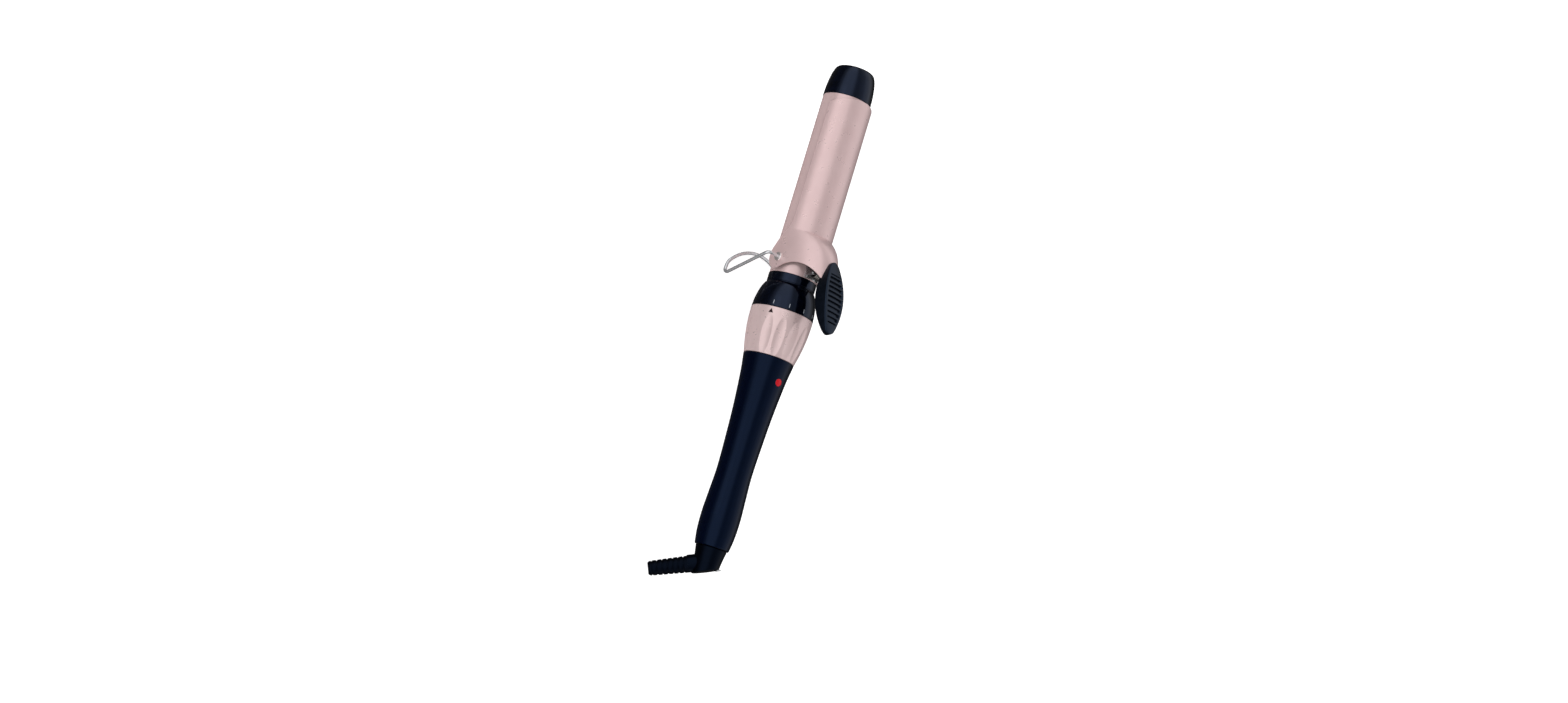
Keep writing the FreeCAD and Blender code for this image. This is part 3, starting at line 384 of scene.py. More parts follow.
def make_collar():
    back = X_DIAL + 0.15
    front = rounded([(-126.0, 15.1, 0), (-126.0, 16.2, 0.3), (-131.4, 16.2, 0.25), (-131.6, 15.8, 0.1),
                     (-132.0, 15.8, 0.1), (-132.2, 16.2, 0.15)])
    skirt = smooth_line(BELL_OUTER, 12)
    edge = rounded([(-150.1, 20.8, 0), (back, 20.8, 0.3), (back, 18.6, 0.2), (-144.5, 18.2, 1), (-138.5, 16.9, 1),
                    (-134.5, 15.2, 1), (-131.0, 13.4, 0.5), (-119.8, 13.4, 0.3), (-119.8, 15.1, 0.3)])
    points, faces = lathe(front[:-1] + skirt + edge[1:])
    piece("collar", points, faces, BLACK_GLOSS, "collar_bell")


MARK_ANGLES = (24.0, 54.0, 84.0, 114.0)
MARK_FRONT = -146.4
MARK_LENGTH = 2.6
MARK_HALF_WIDTH = 0.26
INK_LIFTS = (0.03, -0.03)


def make_marks():
    """Four printed ticks on the collar, one for each heat."""
    points, faces = [], []
    rows = 9
    for degrees in MARK_ANGLES:
        first = len(points)
        for i in range(rows):
            x = MARK_FRONT - MARK_LENGTH * i / (rows - 1)
            r = bell_radius(x)
            for lift in INK_LIFTS:
                for side in (-1, 1):
                    a = math.radians(degrees) + side * MARK_HALF_WIDTH / r
                    points.append((x, (r + lift) * math.cos(a), (r + lift) * math.sin(a)))
        for i in range(rows - 1):
            a = first + 4 * i
            b = a + 4
            faces += [[a, a + 1, b + 1, b], [a + 3, a + 2, b + 2, b + 3]]
            faces += [[a, b, b + 2, a + 2], [a + 1, a + 3, b + 3, b + 1]]
        end = first + 4 * (rows - 1)
        faces += [[first, first + 2, first + 3, first + 1], [end, end + 1, end + 3, end + 2]]
    piece("collar_ticks", points, faces, INK, body="iron")


X_DIAL_MIDDLE = -166.0
R_DIAL_MIDDLE = 19.95
FLUTES = 14
FLUTE_R = 12.0
FLUTE_START = (-157.0, 20.6)
FLUTE_END = (-181.35, 16.85)


def dial_base_radius(x):
    """The dial's outer radius before fluting: an arc that falls towards the handle."""
    front, back = X_DIAL - 0.15, X_HANDLE + 0.15
    t = (front - x) / (front - back)
    t_middle = (front - X_DIAL_MIDDLE) / (front - back)
    a = R_DIAL * (t - t_middle) * (t - 1) / t_middle
    b = R_DIAL_MIDDLE * t * (t - 1) / (t_middle * (t_middle - 1))
    c = R_DIAL_TAIL * t * (t - t_middle) / (1 - t_middle)
    return a + b + c


def fluted(x, r, angle):
    """Radius of the dial's outside at x and angle, cut by shallow flutes at an even pitch."""
    pitch = 2 * math.pi / FLUTES
    # the first flute lies half a pitch from the +z line
    offset = (angle - math.pi / 2) / pitch - 0.5
    delta = (offset - round(offset)) * pitch
    fall = (FLUTE_START[1] - FLUTE_END[1]) / (FLUTE_START[0] - FLUTE_END[0])
    centre = FLUTE_START[1] - fall * (FLUTE_START[0] - x) + FLUTE_R
    side = centre * math.sin(delta)
    if side * side >= FLUTE_R ** 2:
        return r
    return min(r, centre * math.cos(delta) - math.sqrt(FLUTE_R ** 2 - side * side))


def make_dial():
    front, back = X_DIAL - 0.15, X_HANDLE + 0.15
    steps = 120
    outer = [(front, 17.8), (front, 20.45), (front - 0.06, 20.64), (front - 0.18, 20.76)]
    for i in range(steps + 1):
        x = front - 0.3 + (back + 0.12 - front + 0.3) * i / steps
        outer.append((x, dial_base_radius(x)))
    count = len(outer)
    outer += [(back + 0.03, R_DIAL_TAIL - 0.1), (back, R_DIAL_TAIL - 0.25)]
    inner = [(back, 14.6), (-155.0, 14.6), (front, 14.6)]
    line = outer + inner
    limits = (line[3][0], line[count - 1][0])

    def radius(x, r, angle):
        if r < 16.0 or x > limits[0]:
            return r
        cut = fluted(x, r, angle)
        return max(cut, 14.9)

    points, faces = lathe(line, 560, radius)
    piece("dial", points, faces, ROSE_DIAL, "dial_ring", sharp=40.0)


def printed(name, outline, radius_at, angle, material, body):
    """A thin printed mark: rows of (x, half width) laid on a turned surface about a line at one angle."""
    columns = 8
    points, faces = [], []
    for lift in INK_LIFTS:
        for x, half in outline:
            r = radius_at(x)
            for k in range(columns + 1):
                a = angle + half * (2 * k / columns - 1) / r
                points.append((x, (r + lift) * math.cos(a), (r + lift) * math.sin(a)))
    wide = columns + 1
    rows = len(outline)
    below = rows * wide
    for i in range(rows - 1):
        for k in range(columns):
            a = i * wide + k
            faces.append([a, a + 1, a + wide + 1, a + wide])
            faces.append([below + a, below + a + wide, below + a + wide + 1, below + a + 1])
    rim = [k for k in range(wide)] + [i * wide + columns for i in range(1, rows)]
    rim += [(rows - 1) * wide + k for k in reversed(range(columns))]
    rim += [i * wide for i in reversed(range(1, rows - 1))]
    for a, b in zip(rim, rim[1:] + rim[:1]):
        faces.append([b, a, below + a, below + b])
    piece(name, points, faces, material, body=body)


def make_pointer():
    """The dial's pointer, a printed triangle on its plain band."""
    tip_x, tail_x, half, rows = -152.2, -155.1, 1.55, 8
    steps = [i / (rows - 1) for i in range(rows)]
    outline = [(tip_x + (tail_x - tip_x) * t, 0.04 + half * t) for t in steps]
    angle = math.radians(MARK_ANGLES[0])
    printed("dial_pointer", outline, dial_base_radius, angle, POINTER, "dial")


# ---------------------------------------------------------------- handle and tail

HANDLE_OUTER = [(X_HANDLE - 0.5, 16.95), (-190.0, 15.78), (-199.8, 14.75), (-218.0, 13.3), (-239.0, 12.3),
                (-259.5, 11.75), (-274.5, 12.35), (-289.0, 12.95), (-301.0, 12.5), (X_TAIL + 0.8, 11.45)]


def make_handle():
    front = X_HANDLE - 0.15
    outer = smooth_line(HANDLE_OUTER, 14)
    line = [(front, 14.8), (front, 16.6), (front - 0.06, 16.8), (front - 0.18, 16.9)] + outer
    line += rounded([(X_TAIL + 0.8, 11.45, 0), (X_TAIL, 11.15, 0.5), (X_TAIL, 9.1, 0.2), (-262.0, 9.3, 0),
                     (-240.0, 9.95, 0), (-218.0, 11.05, 0), (-200.0, 12.5, 0), (-183.0, 14.6, 0)])[1:]
    points, faces = lathe(line)
    piece("handle_grip", points, faces, BLACK_GRIP, "handle_sleeve")


def make_lens():
    line = [(15.85, 0.0), (15.82, 0.7), (15.7, 1.4), (15.45, 2.1), (15.1, 2.55), (14.7, 2.7), (12.35, 2.7),
            (12.35, 3.4), (11.2, 3.4), (11.2, 0.0)]
    points, faces = lathe(line, 64, closed=False)
    points = moved(points, (X_LED, 0, 0), (0, 0, 1))
    piece("indicator_lens", points, faces, LENS, "led_lens")


LEAN, TURN = math.radians(67.0), math.radians(45.0)
OUTLET = Vector((-math.cos(LEAN), math.sin(LEAN) * math.cos(TURN), -math.sin(LEAN) * math.sin(TURN)))
OUTLET_START = Vector((-319.0, 0, 0))
RELIEF_LENGTH = 38.0
RELIEF_R_ROOT = 5.5
RELIEF_R_END = 4.75
TAPER_START = 12.0


def relief_radius(u):
    past = max(0.0, u - TAPER_START)
    return RELIEF_R_ROOT - (RELIEF_R_ROOT - RELIEF_R_END) * past / (RELIEF_LENGTH - TAPER_START)


def make_relief():
    """The ribbed sleeve at the cord's outlet, open for the cord."""
    outer = [(4.9, 3.5), (4.9, RELIEF_R_ROOT)]
    for groove in range(7):
        u = 14.5 + groove * 3.4
        r = relief_radius(u)
        outer += [(u - 0.1, r), (u + 0.02, r - 0.04), (u + 0.16, r - 0.5), (u + 0.5, r - 0.55)]
        outer += [(u + 0.84, r - 0.5), (u + 0.98, r - 0.04), (u + 1.1, r - 0.01)]
    end = RELIEF_LENGTH
    outer += arc_points((end - 2.4, 4.74), (end - 0.7, 4.3), (end, 3.6), 8)
    outer += [(end - 0.1, 3.5)]
    points, faces = lathe(outer, 96)
    points = moved(points, OUTLET_START, OUTLET)
    piece("relief_sleeve", points, faces, BLACK_RUBBER, "strain_relief")


# ---------------------------------------------------------------- clip

EAR_HALF_WIDTH = 17.9
# x, half width and height of the sheet's sections behind the crease
CLIP_SECTIONS = [(X_CREASE, R_SPOON, R_SPOON), (-100.0, 17.4, 21.6), (-104.5, 17.65, 26.3)]
CLIP_SECTIONS += [(x, EAR_HALF_WIDTH, height) for x, height in
                  ((-110.0, 29.7), (X_HINGE, 32.3), (-126.0, 34.6), (-141.0, 38.6), (-157.0, 43.0))]
CLIP_CURVE = [tuple(p) for p in smooth_line([Vector(p) for p in CLIP_SECTIONS], 16)]


def clip_section(x):
    """Half width and height of the clip's section at x: round over the spoon, an ellipse behind the crease."""
    if x >= X_CREASE:
        return R_SPOON, R_SPOON
    for (x0, w0, h0), (x1, w1, h1) in zip(CLIP_CURVE, CLIP_CURVE[1:]):
        if x1 <= x <= x0:
            t = (x - x0) / (x1 - x0)
            return w0 + (w1 - w0) * t, h0 + (h1 - h0) * t
    return CLIP_CURVE[-1][1:]


def arc_points(a, b, c, steps=10):
    """Points of the arc from a through b to c, in a plane."""
    (ax, az), (bx, bz), (cx, cz) = a, b, c
    d = 2 * (ax * (bz - cz) + bx * (cz - az) + cx * (az - bz))
    ux = ((ax ** 2 + az ** 2) * (bz - cz) + (bx ** 2 + bz ** 2) * (cz - az) + (cx ** 2 + cz ** 2) * (az - bz)) / d
    uz = ((ax ** 2 + az ** 2) * (cx - bx) + (bx ** 2 + bz ** 2) * (ax - cx) + (cx ** 2 + cz ** 2) * (bx - ax)) / d
    r = math.hypot(ax - ux, az - uz)
    t0, t1, t2 = (math.atan2(z - uz, x - ux) for x, z in (a, b, c))
    turn = (t2 - t0) % (2 * math.pi)
    if (t1 - t0) % (2 * math.pi) > turn:
        turn -= 2 * math.pi
    angles = [t0 + turn * i / steps for i in range(steps + 1)]
    return [(ux + r * math.cos(t), uz + r * math.sin(t)) for t in angles]


EDGE_Z = R_SPOON * math.cos(math.radians(80.0))
EAR_FRONT = smooth_line([(-84.0, EDGE_Z), (-94.0, EDGE_Z - 1.2), (-104.5, -4.2), (-111.0, -7.2)], 10)
EAR_FOOT = arc_points((-111.0, -7.2), (X_HINGE, -8.4), (-122.2, -6.4), 14)
EAR_FRONT += EAR_FOOT[1:8]
EAR_REAR = EAR_FOOT[7:]
EAR_REAR += arc_points((-122.2, -6.4), (-124.4, -3.2), (-124.5, 1.4), 10)[1:]
EAR_REAR += arc_points((-124.5, 1.4), (-119.0, 16.5), (-126.4, 31.8), 30)[1:]
LOW_POINT = EAR_REAR[0]


def along(curve, z):
    """x of a curve of (x, z) points at height z. Heights rise or fall along the whole curve."""
    for (x0, z0), (x1, z1) in zip(curve, curve[1:]):
        if min(z0, z1) <= z <= max(z0, z1) and z0 != z1:
            return x0 + (x1 - x0) * (z - z0) / (z1 - z0)
    return curve[0][0] if abs(z - curve[0][1]) < abs(z - curve[-1][1]) else curve[-1][0]


def solve(function, low, high):
    """Root of a function that changes sign between low and high."""
    f_low = function(low)
    for _ in range(40):
        middle = (low + high) / 2
        if (function(middle) > 0) == (f_low > 0):
            low = middle
        else:
            high = middle
    return (low + high) / 2


def clip_point(x, t):
    width, height = clip_section(x)
    return x, width * math.cos(t), height * math.sin(t)


SPOON_END_HALF_WIDTH = 16.0
SPOON_END_DEPTH = 3.6
SPOON_END_X = -1.0
SPOON_CORNER_SLOPE = 2.9


def front_limit(t):
    """Where a line of the sheet at angle t starts: the spoon's rounded end, or the ear's sloping edge."""
    s = math.sin(t)
    if s * R_SPOON >= EDGE_Z:
        y = R_SPOON * math.cos(t)
        reach = SPOON_END_HALF_WIDTH
        end_r = (reach ** 2 + SPOON_END_DEPTH ** 2) / (2 * SPOON_END_DEPTH)
        inside = min(abs(y), reach)
        x = SPOON_END_X - (end_r - math.sqrt(end_r ** 2 - inside ** 2))
        over = max(0.0, abs(y) - reach)
        return x - over * SPOON_CORNER_SLOPE
    return solve(lambda x: clip_section(x)[1] * s - front_height(x), -84.0, LOW_POINT[0])


def front_height(x):
    """Height of the ear's sloping front edge at x."""
    for (x0, z0), (x1, z1) in zip(EAR_FRONT, EAR_FRONT[1:]):
        if x1 <= x <= x0:
            return z0 + (z1 - z0) * (x - x0) / (x1 - x0)
    return EAR_FRONT[-1][1]


NECK_Y, NECK_X = 5.6, -131.5
ARCH_Y, ARCH_X, ARCH_TOP = 7.2, -126.4, 31.5
TONGUE_END = -148.0


def rear_limit(t):
    """Where a line of the sheet at angle t ends: the ear's edge, the arch over the collar or the tongue's neck."""
    s, c = math.sin(t), abs(math.cos(t))
    x = solve(lambda x: x - along(EAR_REAR, clip_section(x)[1] * s), -112.0, -134.0)
    if clip_section(x)[1] * s < ARCH_TOP:
        return x
    y = EAR_HALF_WIDTH * c
    if y <= NECK_Y:
        return NECK_X
    return NECK_X + (y - NECK_Y) * (NECK_X - ARCH_X) / (NECK_Y - ARCH_Y)


def graded(start, end, count):
    return [start + (end - start) * i / count for i in range(count + 1)]


def make_clip():
    """Spoon, hood with ears, and tongue: three grids welded along the crease and the neck, then thickened."""
    ear_low = math.asin(LOW_POINT[1] / clip_section(LOW_POINT[0])[1]) + 0.003
    edge = math.asin(EDGE_Z / R_SPOON)
    neck = math.acos(NECK_Y / EAR_HALF_WIDTH)
    quarter = graded(ear_low, edge, 26)[:-1] + graded(edge, neck, 60)[:-1] + graded(neck, math.pi / 2, 16)
    angles = quarter + [math.pi - t for t in reversed(quarter[:-1])]
    points, faces, index = [], [], {}

    def vertex(x, t, key):
        if key not in index:
            index[key] = len(points)
            points.append(clip_point(x, t))
        return index[key]

    spoon_rows, hood_rows, tongue_rows = 60, 44, 22
    columns = []
    for j, t in enumerate(angles):
        mirrored = t if t <= math.pi / 2 else math.pi - t
        front, rear = front_limit(mirrored), rear_limit(mirrored)
        column = []
        if front > X_CREASE + 0.05:
            for i in range(spoon_rows + 1):
                u = i / spoon_rows
                x = front + (X_CREASE - front) * u
                column.append(("s", i, vertex(x, t, (j, "s", i))))
        hood_start = min(front, X_CREASE)
        hood = []
        for i in range(hood_rows + 1):
            u = (i / hood_rows) ** 1.35
            x = hood_start + (rear - hood_start) * u
            if i == 0 and column:
                hood.append(column[-1][2])
            else:
                hood.append(vertex(x, t, (j, "h", i)))
        tongue = []
        if mirrored >= neck - 1e-9:
            y = EAR_HALF_WIDTH * math.cos(mirrored)
            end = TONGUE_END - math.sqrt(max(0.0, NECK_Y ** 2 - y ** 2))
            for i in range(tongue_rows + 1):
                x = rear + (end - rear) * i / tongue_rows
                tongue.append(hood[-1] if i == 0 else vertex(x, t, (j, "t", i)))
        columns.append(([c[2] for c in column], hood, tongue))
    for a, b in zip(columns, columns[1:]):
        for strip_a, strip_b in zip(a, b):
            if not strip_a or not strip_b:
                continue
            for i in range(min(len(strip_a), len(strip_b)) - 1):
                faces.append([strip_a[i], strip_b[i], strip_b[i + 1], strip_a[i + 1]])
        if bool(a[0]) != bool(b[0]):
            # the spoon's grid starts here: a fan closes the sloping edge between the two columns
            full, bare = (a, b) if a[0] else (b, a)
            pivot = bare[1][0]
            for i in range(len(full[0]) - 1):
                tri = [full[0][i], full[0][i + 1], pivot]
                faces.append(tri if full is b else tri[::-1])
    made = piece("clip_sheet", points, faces, ROSE_PAINTED_SHADE_INSIDE, "clip_shell", sharp=28.0)
    made.data.materials.append(ROSE)
    thick = made.modifiers.new("sheet", "SOLIDIFY")
    # the sheet's inner face keeps the first material, a dark rose painted as the shade under the hood; its outer
    # face and rim take the second
    thick.material_offset = 1
    thick.material_offset_rim = 1
    thick.thickness = SHEET * MM
    thick.offset = -1.0
    thick.use_even_offset = True
    soft = made.modifiers.new("edge", "BEVEL")
    soft.width = 0.18 * MM
    soft.segments = 2
    soft.limit_method = "ANGLE"
    soft.angle_limit = math.radians(50)


# ---------------------------------------------------------------- thumb pad

PAD_LENGTH, PAD_HALF_WIDTH, PAD_END_R = 49.4, 9.1, 5.0
PAD_CROWN, PAD_BELLY, PAD_END_ABOVE, PAD_END_BELOW = 4.0, 6.5, 1.6, 2.4
PAD_GRIPS, GRIP_PITCH, GRIP_CENTRE = 10, 3.4, -1.2
GROOVE_DEPTH = 1.45
# how far the pad's top stays below the CAD's, to end inside its box
PAD_SKIN = 0.06
PAD_TILT = math.radians(15.2)
PAD_CENTRE = (-136.8, 38.4)


def pad_width(u):
    """Half width of the pad's oval plan at u: long side arcs that run tangent into round ends."""
    end_centre = PAD_LENGTH / 2 - PAD_END_R
    side_r = (end_centre ** 2 + PAD_HALF_WIDTH ** 2 - PAD_END_R ** 2) / (2 * (PAD_HALF_WIDTH - PAD_END_R))
    if abs(u) < end_centre * side_r / (side_r - PAD_END_R):
        return math.sqrt(side_r ** 2 - u ** 2) - side_r + PAD_HALF_WIDTH
    return math.sqrt(max(1e-4, PAD_END_R ** 2 - (abs(u) - end_centre) ** 2))


def pad_point(u, y, w):
    """A point of the pad's own frame, u along it and w up, as a point of the iron's frame."""
    c, s = math.cos(PAD_TILT), math.sin(PAD_TILT)
    return PAD_CENTRE[0] + u * c + w * s, y, PAD_CENTRE[1] - u * s + w * c


def step_up(value, low, high):
    t = min(1.0, max(0.0, (value - low) / (high - low)))
    return t * t * (3 - 2 * t)


def pad_top(u, y, crown):
    """Height of the pad's top at a place: a plain rim round a field of deep cross grooves."""
    margin = pad_width(u) - abs(y)
    field = step_up(margin, 1.9, 2.7)
    from_centre = abs(u - GRIP_CENTRE)
    field *= step_up(PAD_GRIPS * GRIP_PITCH / 2 - from_centre, 0.0, 0.8)
    wave = 0.5 + 0.5 * math.cos(2 * math.pi * (u - GRIP_CENTRE) / GRIP_PITCH)
    return crown - field * GROOVE_DEPTH * step_up(wave, 0.18, 0.6)


def make_pad():
    half = PAD_LENGTH / 2
    columns, across = 520, 64
    around = 14
    points, faces, rings = [], [], []
    for i in range(columns + 1):
        # closer rows at the round ends
        u = -half * math.cos(math.pi * i / columns) * 0.35 + (-half + PAD_LENGTH * i / columns) * 0.65
        share = u / half
        width = pad_width(u)
        crown = PAD_END_ABOVE + (PAD_CROWN - PAD_END_ABOVE) * (1 - share * share)
        belly = PAD_END_BELOW + (PAD_BELLY - PAD_END_BELOW) * (1 - share * share)
        lip = min(0.9, width * 0.5)
        ring = []
        for k in range(across + 1):
            y = -(width - lip) + 2 * (width - lip) * k / across
            bow = PAD_SKIN + 0.5 * (y / width) ** 2
            ring.append((u, y, pad_top(u, y, crown - bow)))
        base_top = ring[-1][2]
        for k in range(1, around):
            a = math.pi / 2 * k / around
            ring.append((u, width - lip + lip * math.sin(a), base_top - lip * (1 - math.cos(a))))
        low_lip = min(1.6, width * 0.5)
        for k in range(around + 1):
            a = math.pi / 2 * k / around
            ring.append((u, width - low_lip * (1 - math.cos(a)), -belly + low_lip * (1 - math.sin(a))))
        for k in range(1, around):
            y = (width - low_lip) * (1 - 2 * k / around)
            ring.append((u, y, -belly))
        for k in range(around + 1):
            a = math.pi / 2 * (1 - k / around)
            ring.append((u, -width + low_lip * (1 - math.cos(a)), -belly + low_lip * (1 - math.sin(a))))
        for k in range(around - 1, 0, -1):
            a = math.pi / 2 * k / around
            ring.append((u, -(width - lip + lip * math.sin(a)), base_top - lip * (1 - math.cos(a))))
        rings.append(list(range(len(points), len(points) + len(ring))))
        points += [pad_point(*p) for p in ring]
    size = len(rings[0])
    for a, b in zip(rings, rings[1:]):
        for k in range(size):
            n = (k + 1) % size
            faces.append([a[k], a[n], b[n], b[k]])
    faces.append(list(reversed(rings[0])))
    faces.append(rings[-1])
    piece("thumb_grip", points, faces, BLACK_PAD, "thumb_pad", sharp=45.0)


# ---------------------------------------------------------------- hinge, spring, stand

RIVET_R, RIVET_BORE, RIVET_HEAD_R = 1.9, 1.15, 3.1


def make_rivets():
    line = rounded([(14.2, RIVET_BORE, 0), (14.2, RIVET_R, 0.2), (18.2, RIVET_R, 0), (18.2, RIVET_HEAD_R, 0.3),
                    (19.6, RIVET_HEAD_R - 0.05, 1.0), (19.6, RIVET_BORE, 0.4), (18.6, RIVET_BORE, 0)])
    shapes = []
    for side in (-1, 1):
        points, faces = lathe(line, 64)
        shapes.append((moved(points, (X_HINGE, 0, 0), (0, side, 0)), faces))
    points, faces = together(*shapes)
    piece("hinge_rivet_pair", points, faces, ROSE_RIVET, "hinge_rivets")


def bend(before, corner, after, radius, steps=10):
    """Points of the arc that rounds a corner."""
    before, corner, after = Vector(before), Vector(corner), Vector(after)
    way_in = (corner - before).normalized()
    way_out = (after - corner).normalized()
    turn = way_in.angle(way_out)
    back = radius * math.tan(turn / 2)
    start, end = corner - way_in * back, corner + way_out * back
    centre = corner + (way_out - way_in).normalized() * (radius / math.cos(turn / 2))
    a, b = start - centre, end - centre
    points = []
    for i in range(steps + 1):
        t = i / steps
        direction = (a * math.sin((1 - t) * turn) + b * math.sin(t * turn)) / math.sin(turn)
        points.append(centre + direction)
    return points


STAND_HALF_WIDTH, STAND_DROP, STAND_BACK, STAND_REACH = 28.4, 34.9, 17.7, 22.8
TOE_R, ARCH_ANGLE, SIDE_ANGLE, BEND_R, WIRE_R = 8.0, math.radians(50.0), math.radians(85.0), 2.6, 1.1


def stand_path():
    """The stand's centre line, from one rivet's bore round the foot to the other's."""
    sa, ca, ss, cs = math.sin(ARCH_ANGLE), math.cos(ARCH_ANGLE), math.sin(SIDE_ANGLE), math.cos(SIDE_ANGLE)
    width = STAND_HALF_WIDTH - TOE_R * (ss - sa)
    reach = STAND_REACH - TOE_R * (ca - cs)
    scale = sa * ss - (1 - ca) * cs
    arch_r = (width * ss - reach * cs) / scale
    side_length = (reach * sa - width * (1 - ca)) / scale
    heel_x = X_HINGE - STAND_BACK
    end = Vector((X_HINGE, 14.6, 0))
    knee = Vector((X_HINGE, STAND_HALF_WIDTH, 0))
    heel = Vector((heel_x, STAND_HALF_WIDTH, -STAND_DROP))
    toe_start = heel + Vector((side_length * ss, -side_length * cs, 0))
    toe_centre = toe_start - Vector((TOE_R * cs, TOE_R * ss, 0))
    crown_x = heel_x + STAND_REACH
    half = [end] + bend(end, knee, heel, BEND_R, 14) + bend(knee, heel, toe_start, BEND_R, 14)
    for i in range(10):
        a = SIDE_ANGLE + (ARCH_ANGLE - SIDE_ANGLE) * i / 10
        half.append(toe_centre + Vector((math.cos(a), math.sin(a), 0)) * TOE_R)
    for i in range(24):
        a = ARCH_ANGLE * (1 - i / 24)
        half.append(Vector((crown_x - arch_r * (1 - math.cos(a)), arch_r * math.sin(a), -STAND_DROP)))
    crown = [Vector((crown_x, 0, -STAND_DROP))]
    return half + crown + [Vector((p.x, -p.y, p.z)) for p in reversed(half)]


def make_stand():
    points, faces = tube(stand_path(), WIRE_R, 24)
    piece("wire_stand", points, faces, CHROME, "stand_wire")


SPRING_X, SPRING_Z, COIL_R, SPRING_WIRE, TURNS, PITCH = -121.6, 20.9, 2.9, 0.55, 5, 1.5
LEG_LENGTH = 12.7


def make_spring():
    """The torsion spring: coils with a fixed leg on the bracket, and a leg reaching up towards the tongue as a
    loose object that belongs to no body.
    """
    height = TURNS * PITCH
    path = [Vector((SPRING_X + 5.6, height / 2, SPRING_Z - COIL_R))]
    steps = 40 * TURNS
    for i in range(steps + 1):
        a = 2 * math.pi * i / 40
        y = height / 2 - height * i / steps
        path.append(Vector((SPRING_X - COIL_R * math.sin(a), y, SPRING_Z - COIL_R * math.cos(a))))
    points, faces = tube(path, SPRING_WIRE, 14)
    piece("spring_coils", points, faces, SPRING, "clip_spring")
    foot = Vector((SPRING_X - COIL_R * 0.968, -height / 2, SPRING_Z - COIL_R * 0.25))
    leg = [foot + Vector((-0.25, 0, 0.968)) * (LEG_LENGTH * i / 30) for i in range(31)]
    points, faces = tube(leg, SPRING_WIRE, 14)
    mesh = bpy.data.meshes.new("spring_leg")
    mesh.from_pydata([place(*p) for p in points], [], faces)
    mesh.polygons.foreach_set("use_smooth", [True] * len(mesh.polygons))
    mesh.materials.append(SPRING)
    made = bpy.data.objects.new("spring_leg", mesh)
    bpy.context.scene.collection.objects.link(made)
    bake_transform(made)


make_cool_tip()
make_barrel()
make_collar()
make_marks()
make_dial()
make_pointer()
make_handle()
make_lens()
make_relief()
make_clip()
make_pad()
make_rivets()
make_stand()
make_spring()


# ---------------------------------------------------------------- floor, light and camera

FLOOR_REACH = 6.0


def make_floor():
    mesh = bpy.data.meshes.new("floor")
    corners = [(x * FLOOR_REACH, y * FLOOR_REACH, 0) for x, y in ((-1, -1), (1, -1), (1, 1), (-1, 1))]
    mesh.from_pydata(corners, [], [(0, 1, 2, 3)])
    floor = bpy.data.objects.new("floor", mesh)
    bpy.context.scene.collection.objects.link(floor)
    low, high = (0.92, 0.92, 0.92), (0.94, 0.94, 0.94)
    material = surface("floor_paint", low, high, 0.9, cloud=2.0, grain=60.0, bump=0.0, specular=0.0)
    # a lit floor, like a light table, so that the iron throws hardly any shadow
    shader = material.node_tree.nodes["Principled BSDF"]
    shader.inputs["Emission Color"].default_value = (1, 1, 1, 1)
    shader.inputs["Emission Strength"].default_value = FLOOR_GLOW
    mesh.materials.append(material)
    floor.visible_glossy = False


CAMERA_DISTANCE = 1.5
LEAN_IN_FRAME = math.radians(16.8)
TIP_AWAY = math.radians(10.5)
ROLL = math.radians(45.0)
PIXELS = (1568, 703)
FOCAL_PIXELS = 1.516 * 1500.0
SENSOR = 36.0
AIM_PIXEL = (846.5, 102.0)


def camera_axes():
    """Camera right, up and back, as vectors of the row's frame, and the camera's place."""
    t, l, th = TIP_AWAY, LEAN_IN_FRAME, ROLL
    tip = Vector((math.sin(l) * math.cos(t), math.cos(l) * math.cos(t), -math.sin(t)))
    view = Vector((0, 0, 1))
    facing = (view - tip * view.dot(tip)).normalized()
    right = tip.cross(facing)
    up = right * math.sin(th) + facing * math.cos(th)
    side = up.cross(tip)
    # where the joint between tip and barrel is, seen from the camera
    depth = CAMERA_DISTANCE + 0.060 * math.sin(t)
    start = Vector(((AIM_PIXEL[0] - PIXELS[0] / 2) / FOCAL_PIXELS * depth,
                    -(AIM_PIXEL[1] - PIXELS[1] / 2) / FOCAL_PIXELS * depth, -depth))
    rows = Matrix((tip, side, up))
    place_of = place(0, 0, 0) - rows @ start
    axes = rows.transposed()
    return axes[0], axes[1], axes[2], place_of


def make_camera():
    right, up, back, where = camera_axes()
    camera = bpy.data.cameras.new("camera")
    camera.sensor_width = SENSOR
    camera.lens = FOCAL_PIXELS / PIXELS[0] * SENSOR
    camera.clip_start = 0.05
    made = bpy.data.objects.new("camera", camera)
    bpy.context.scene.collection.objects.link(made)
    turn = Matrix((right, up, back)).transposed().to_4x4()
    made.matrix_world = Matrix.Translation(where) @ turn
    bpy.context.scene.camera = made
    return right, up, back


def area_light(name, where, target, size, power):
    light = bpy.data.lights.new(name, "AREA")
    light.shape = "RECTANGLE"
    light.size, light.size_y = size
    light.energy = power
    made = bpy.data.objects.new(name, light)
    bpy.context.scene.collection.objects.link(made)
    turn = (Vector(where) - Vector(target)).to_track_quat("Z", "Y").to_matrix().to_4x4()
    made.matrix_world = Matrix.Translation(where) @ turn


# Brightness of the room that shiny pieces mirror, by the angle round the iron from the camera's side
ROOM = ((-180, 0.05), (-120, 0.06), (-88, 0.07), (-68, 0.10), (-52, 0.45), (-38, 1.10), (-26, 1.28), (6, 1.28),
        (15, 1.02), (25, 0.50), (34, 0.42), (60, 0.60), (80, 0.92), (108, 0.88), (124, 0.32), (140, 0.05),
        (180, 0.03))
ROOM_COLOUR = (1.0, 0.995, 1.0)
DAYLIGHT = 0.64
DAYLIGHT_SLOPE = 0.30
BACKDROP = 0.985
FLOOR_GLOW = 0.62


def plain_background(tree, level):
    node = tree.nodes.new("ShaderNodeBackground")
    node.inputs["Color"].default_value = (level, level, level, 1)
    return node.outputs["Background"]


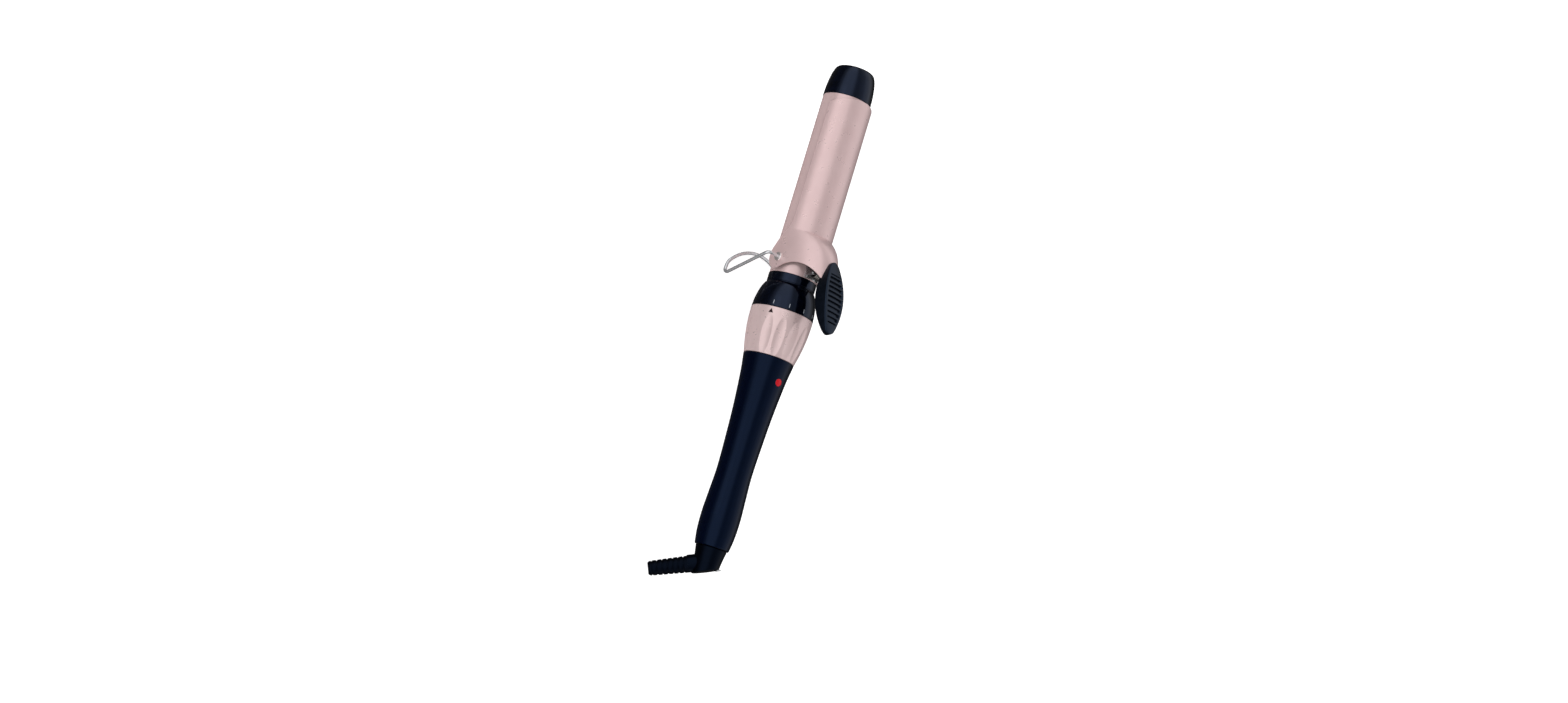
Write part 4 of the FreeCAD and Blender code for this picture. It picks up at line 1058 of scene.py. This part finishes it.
def along_axis(tree, direction, axis):
    node = tree.nodes.new("ShaderNodeVectorMath")
    node.operation = "DOT_PRODUCT"
    node.inputs[1].default_value = axis
    tree.links.new(direction, node.inputs[0])
    return node.outputs["Value"]


def room_background(tree, facing, across):
    """A soft studio for reflections: a wide panel by the camera, a strip to the right, dim walls elsewhere."""
    direction = tree.nodes.new("ShaderNodeTexCoord").outputs["Generated"]
    angle = tree.nodes.new("ShaderNodeMath")
    angle.operation = "ARCTAN2"
    tree.links.new(along_axis(tree, direction, across), angle.inputs[0])
    tree.links.new(along_axis(tree, direction, facing), angle.inputs[1])
    ramp = tree.nodes.new("ShaderNodeValToRGB")
    ramp.color_ramp.interpolation = "EASE"
    while len(ramp.color_ramp.elements) < len(ROOM):
        ramp.color_ramp.elements.new(0.5)
    for stop, (degrees, level) in zip(ramp.color_ramp.elements, ROOM):
        stop.position = (degrees + 180) / 360
        stop.color = (*(level * channel for channel in ROOM_COLOUR), 1)
    tree.links.new(ranged(tree, angle.outputs["Value"], 0, 1, -math.pi, math.pi), ramp.inputs["Fac"])
    room = tree.nodes.new("ShaderNodeBackground")
    tree.links.new(ramp.outputs["Color"], room.inputs["Color"])
    return room.outputs["Background"]


def sloping_background(tree, across):
    """Even daylight that grows a little towards the right."""
    direction = tree.nodes.new("ShaderNodeTexCoord").outputs["Generated"]
    low, high = DAYLIGHT * (1 - DAYLIGHT_SLOPE), DAYLIGHT * (1 + DAYLIGHT_SLOPE)
    node = tree.nodes.new("ShaderNodeBackground")
    tree.links.new(ranged(tree, along_axis(tree, direction, across), low, high, -1, 1), node.inputs["Color"])
    return node.outputs["Background"]


def mixed(tree, factor, shader_a, shader_b):
    node = tree.nodes.new("ShaderNodeMixShader")
    tree.links.new(factor, node.inputs["Fac"])
    tree.links.new(shader_a, node.inputs[1])
    tree.links.new(shader_b, node.inputs[2])
    return node.outputs["Shader"]


def make_world(right, back):
    world = bpy.data.worlds.new("studio")
    bpy.context.scene.world = world
    world.use_nodes = True
    tree = world.node_tree
    tree.nodes.clear()
    facing = (back - AXIAL * back.dot(AXIAL)).normalized()
    across = (right - AXIAL * right.dot(AXIAL)).normalized()
    path = tree.nodes.new("ShaderNodeLightPath")
    lit = mixed(tree, path.outputs["Is Diffuse Ray"], room_background(tree, facing, across),
                sloping_background(tree, across))
    seen = mixed(tree, path.outputs["Is Camera Ray"], lit, plain_background(tree, BACKDROP))
    out = tree.nodes.new("ShaderNodeOutputWorld")
    tree.links.new(seen, out.inputs["Surface"])


make_floor()
RIGHT, UP, BACK = make_camera()
CENTRE = place(-150, 0, 0)
make_world(RIGHT, BACK)
KEY_WAY = (BACK * 1.0 - RIGHT * 0.55 + UP * 0.75).normalized()
area_light("soft_key", CENTRE + KEY_WAY * CAMERA_DISTANCE, CENTRE, (0.8, 0.8), 0.35)
scene = bpy.context.scene
scene.view_settings.view_transform = "Standard"
scene.view_settings.look = "None"
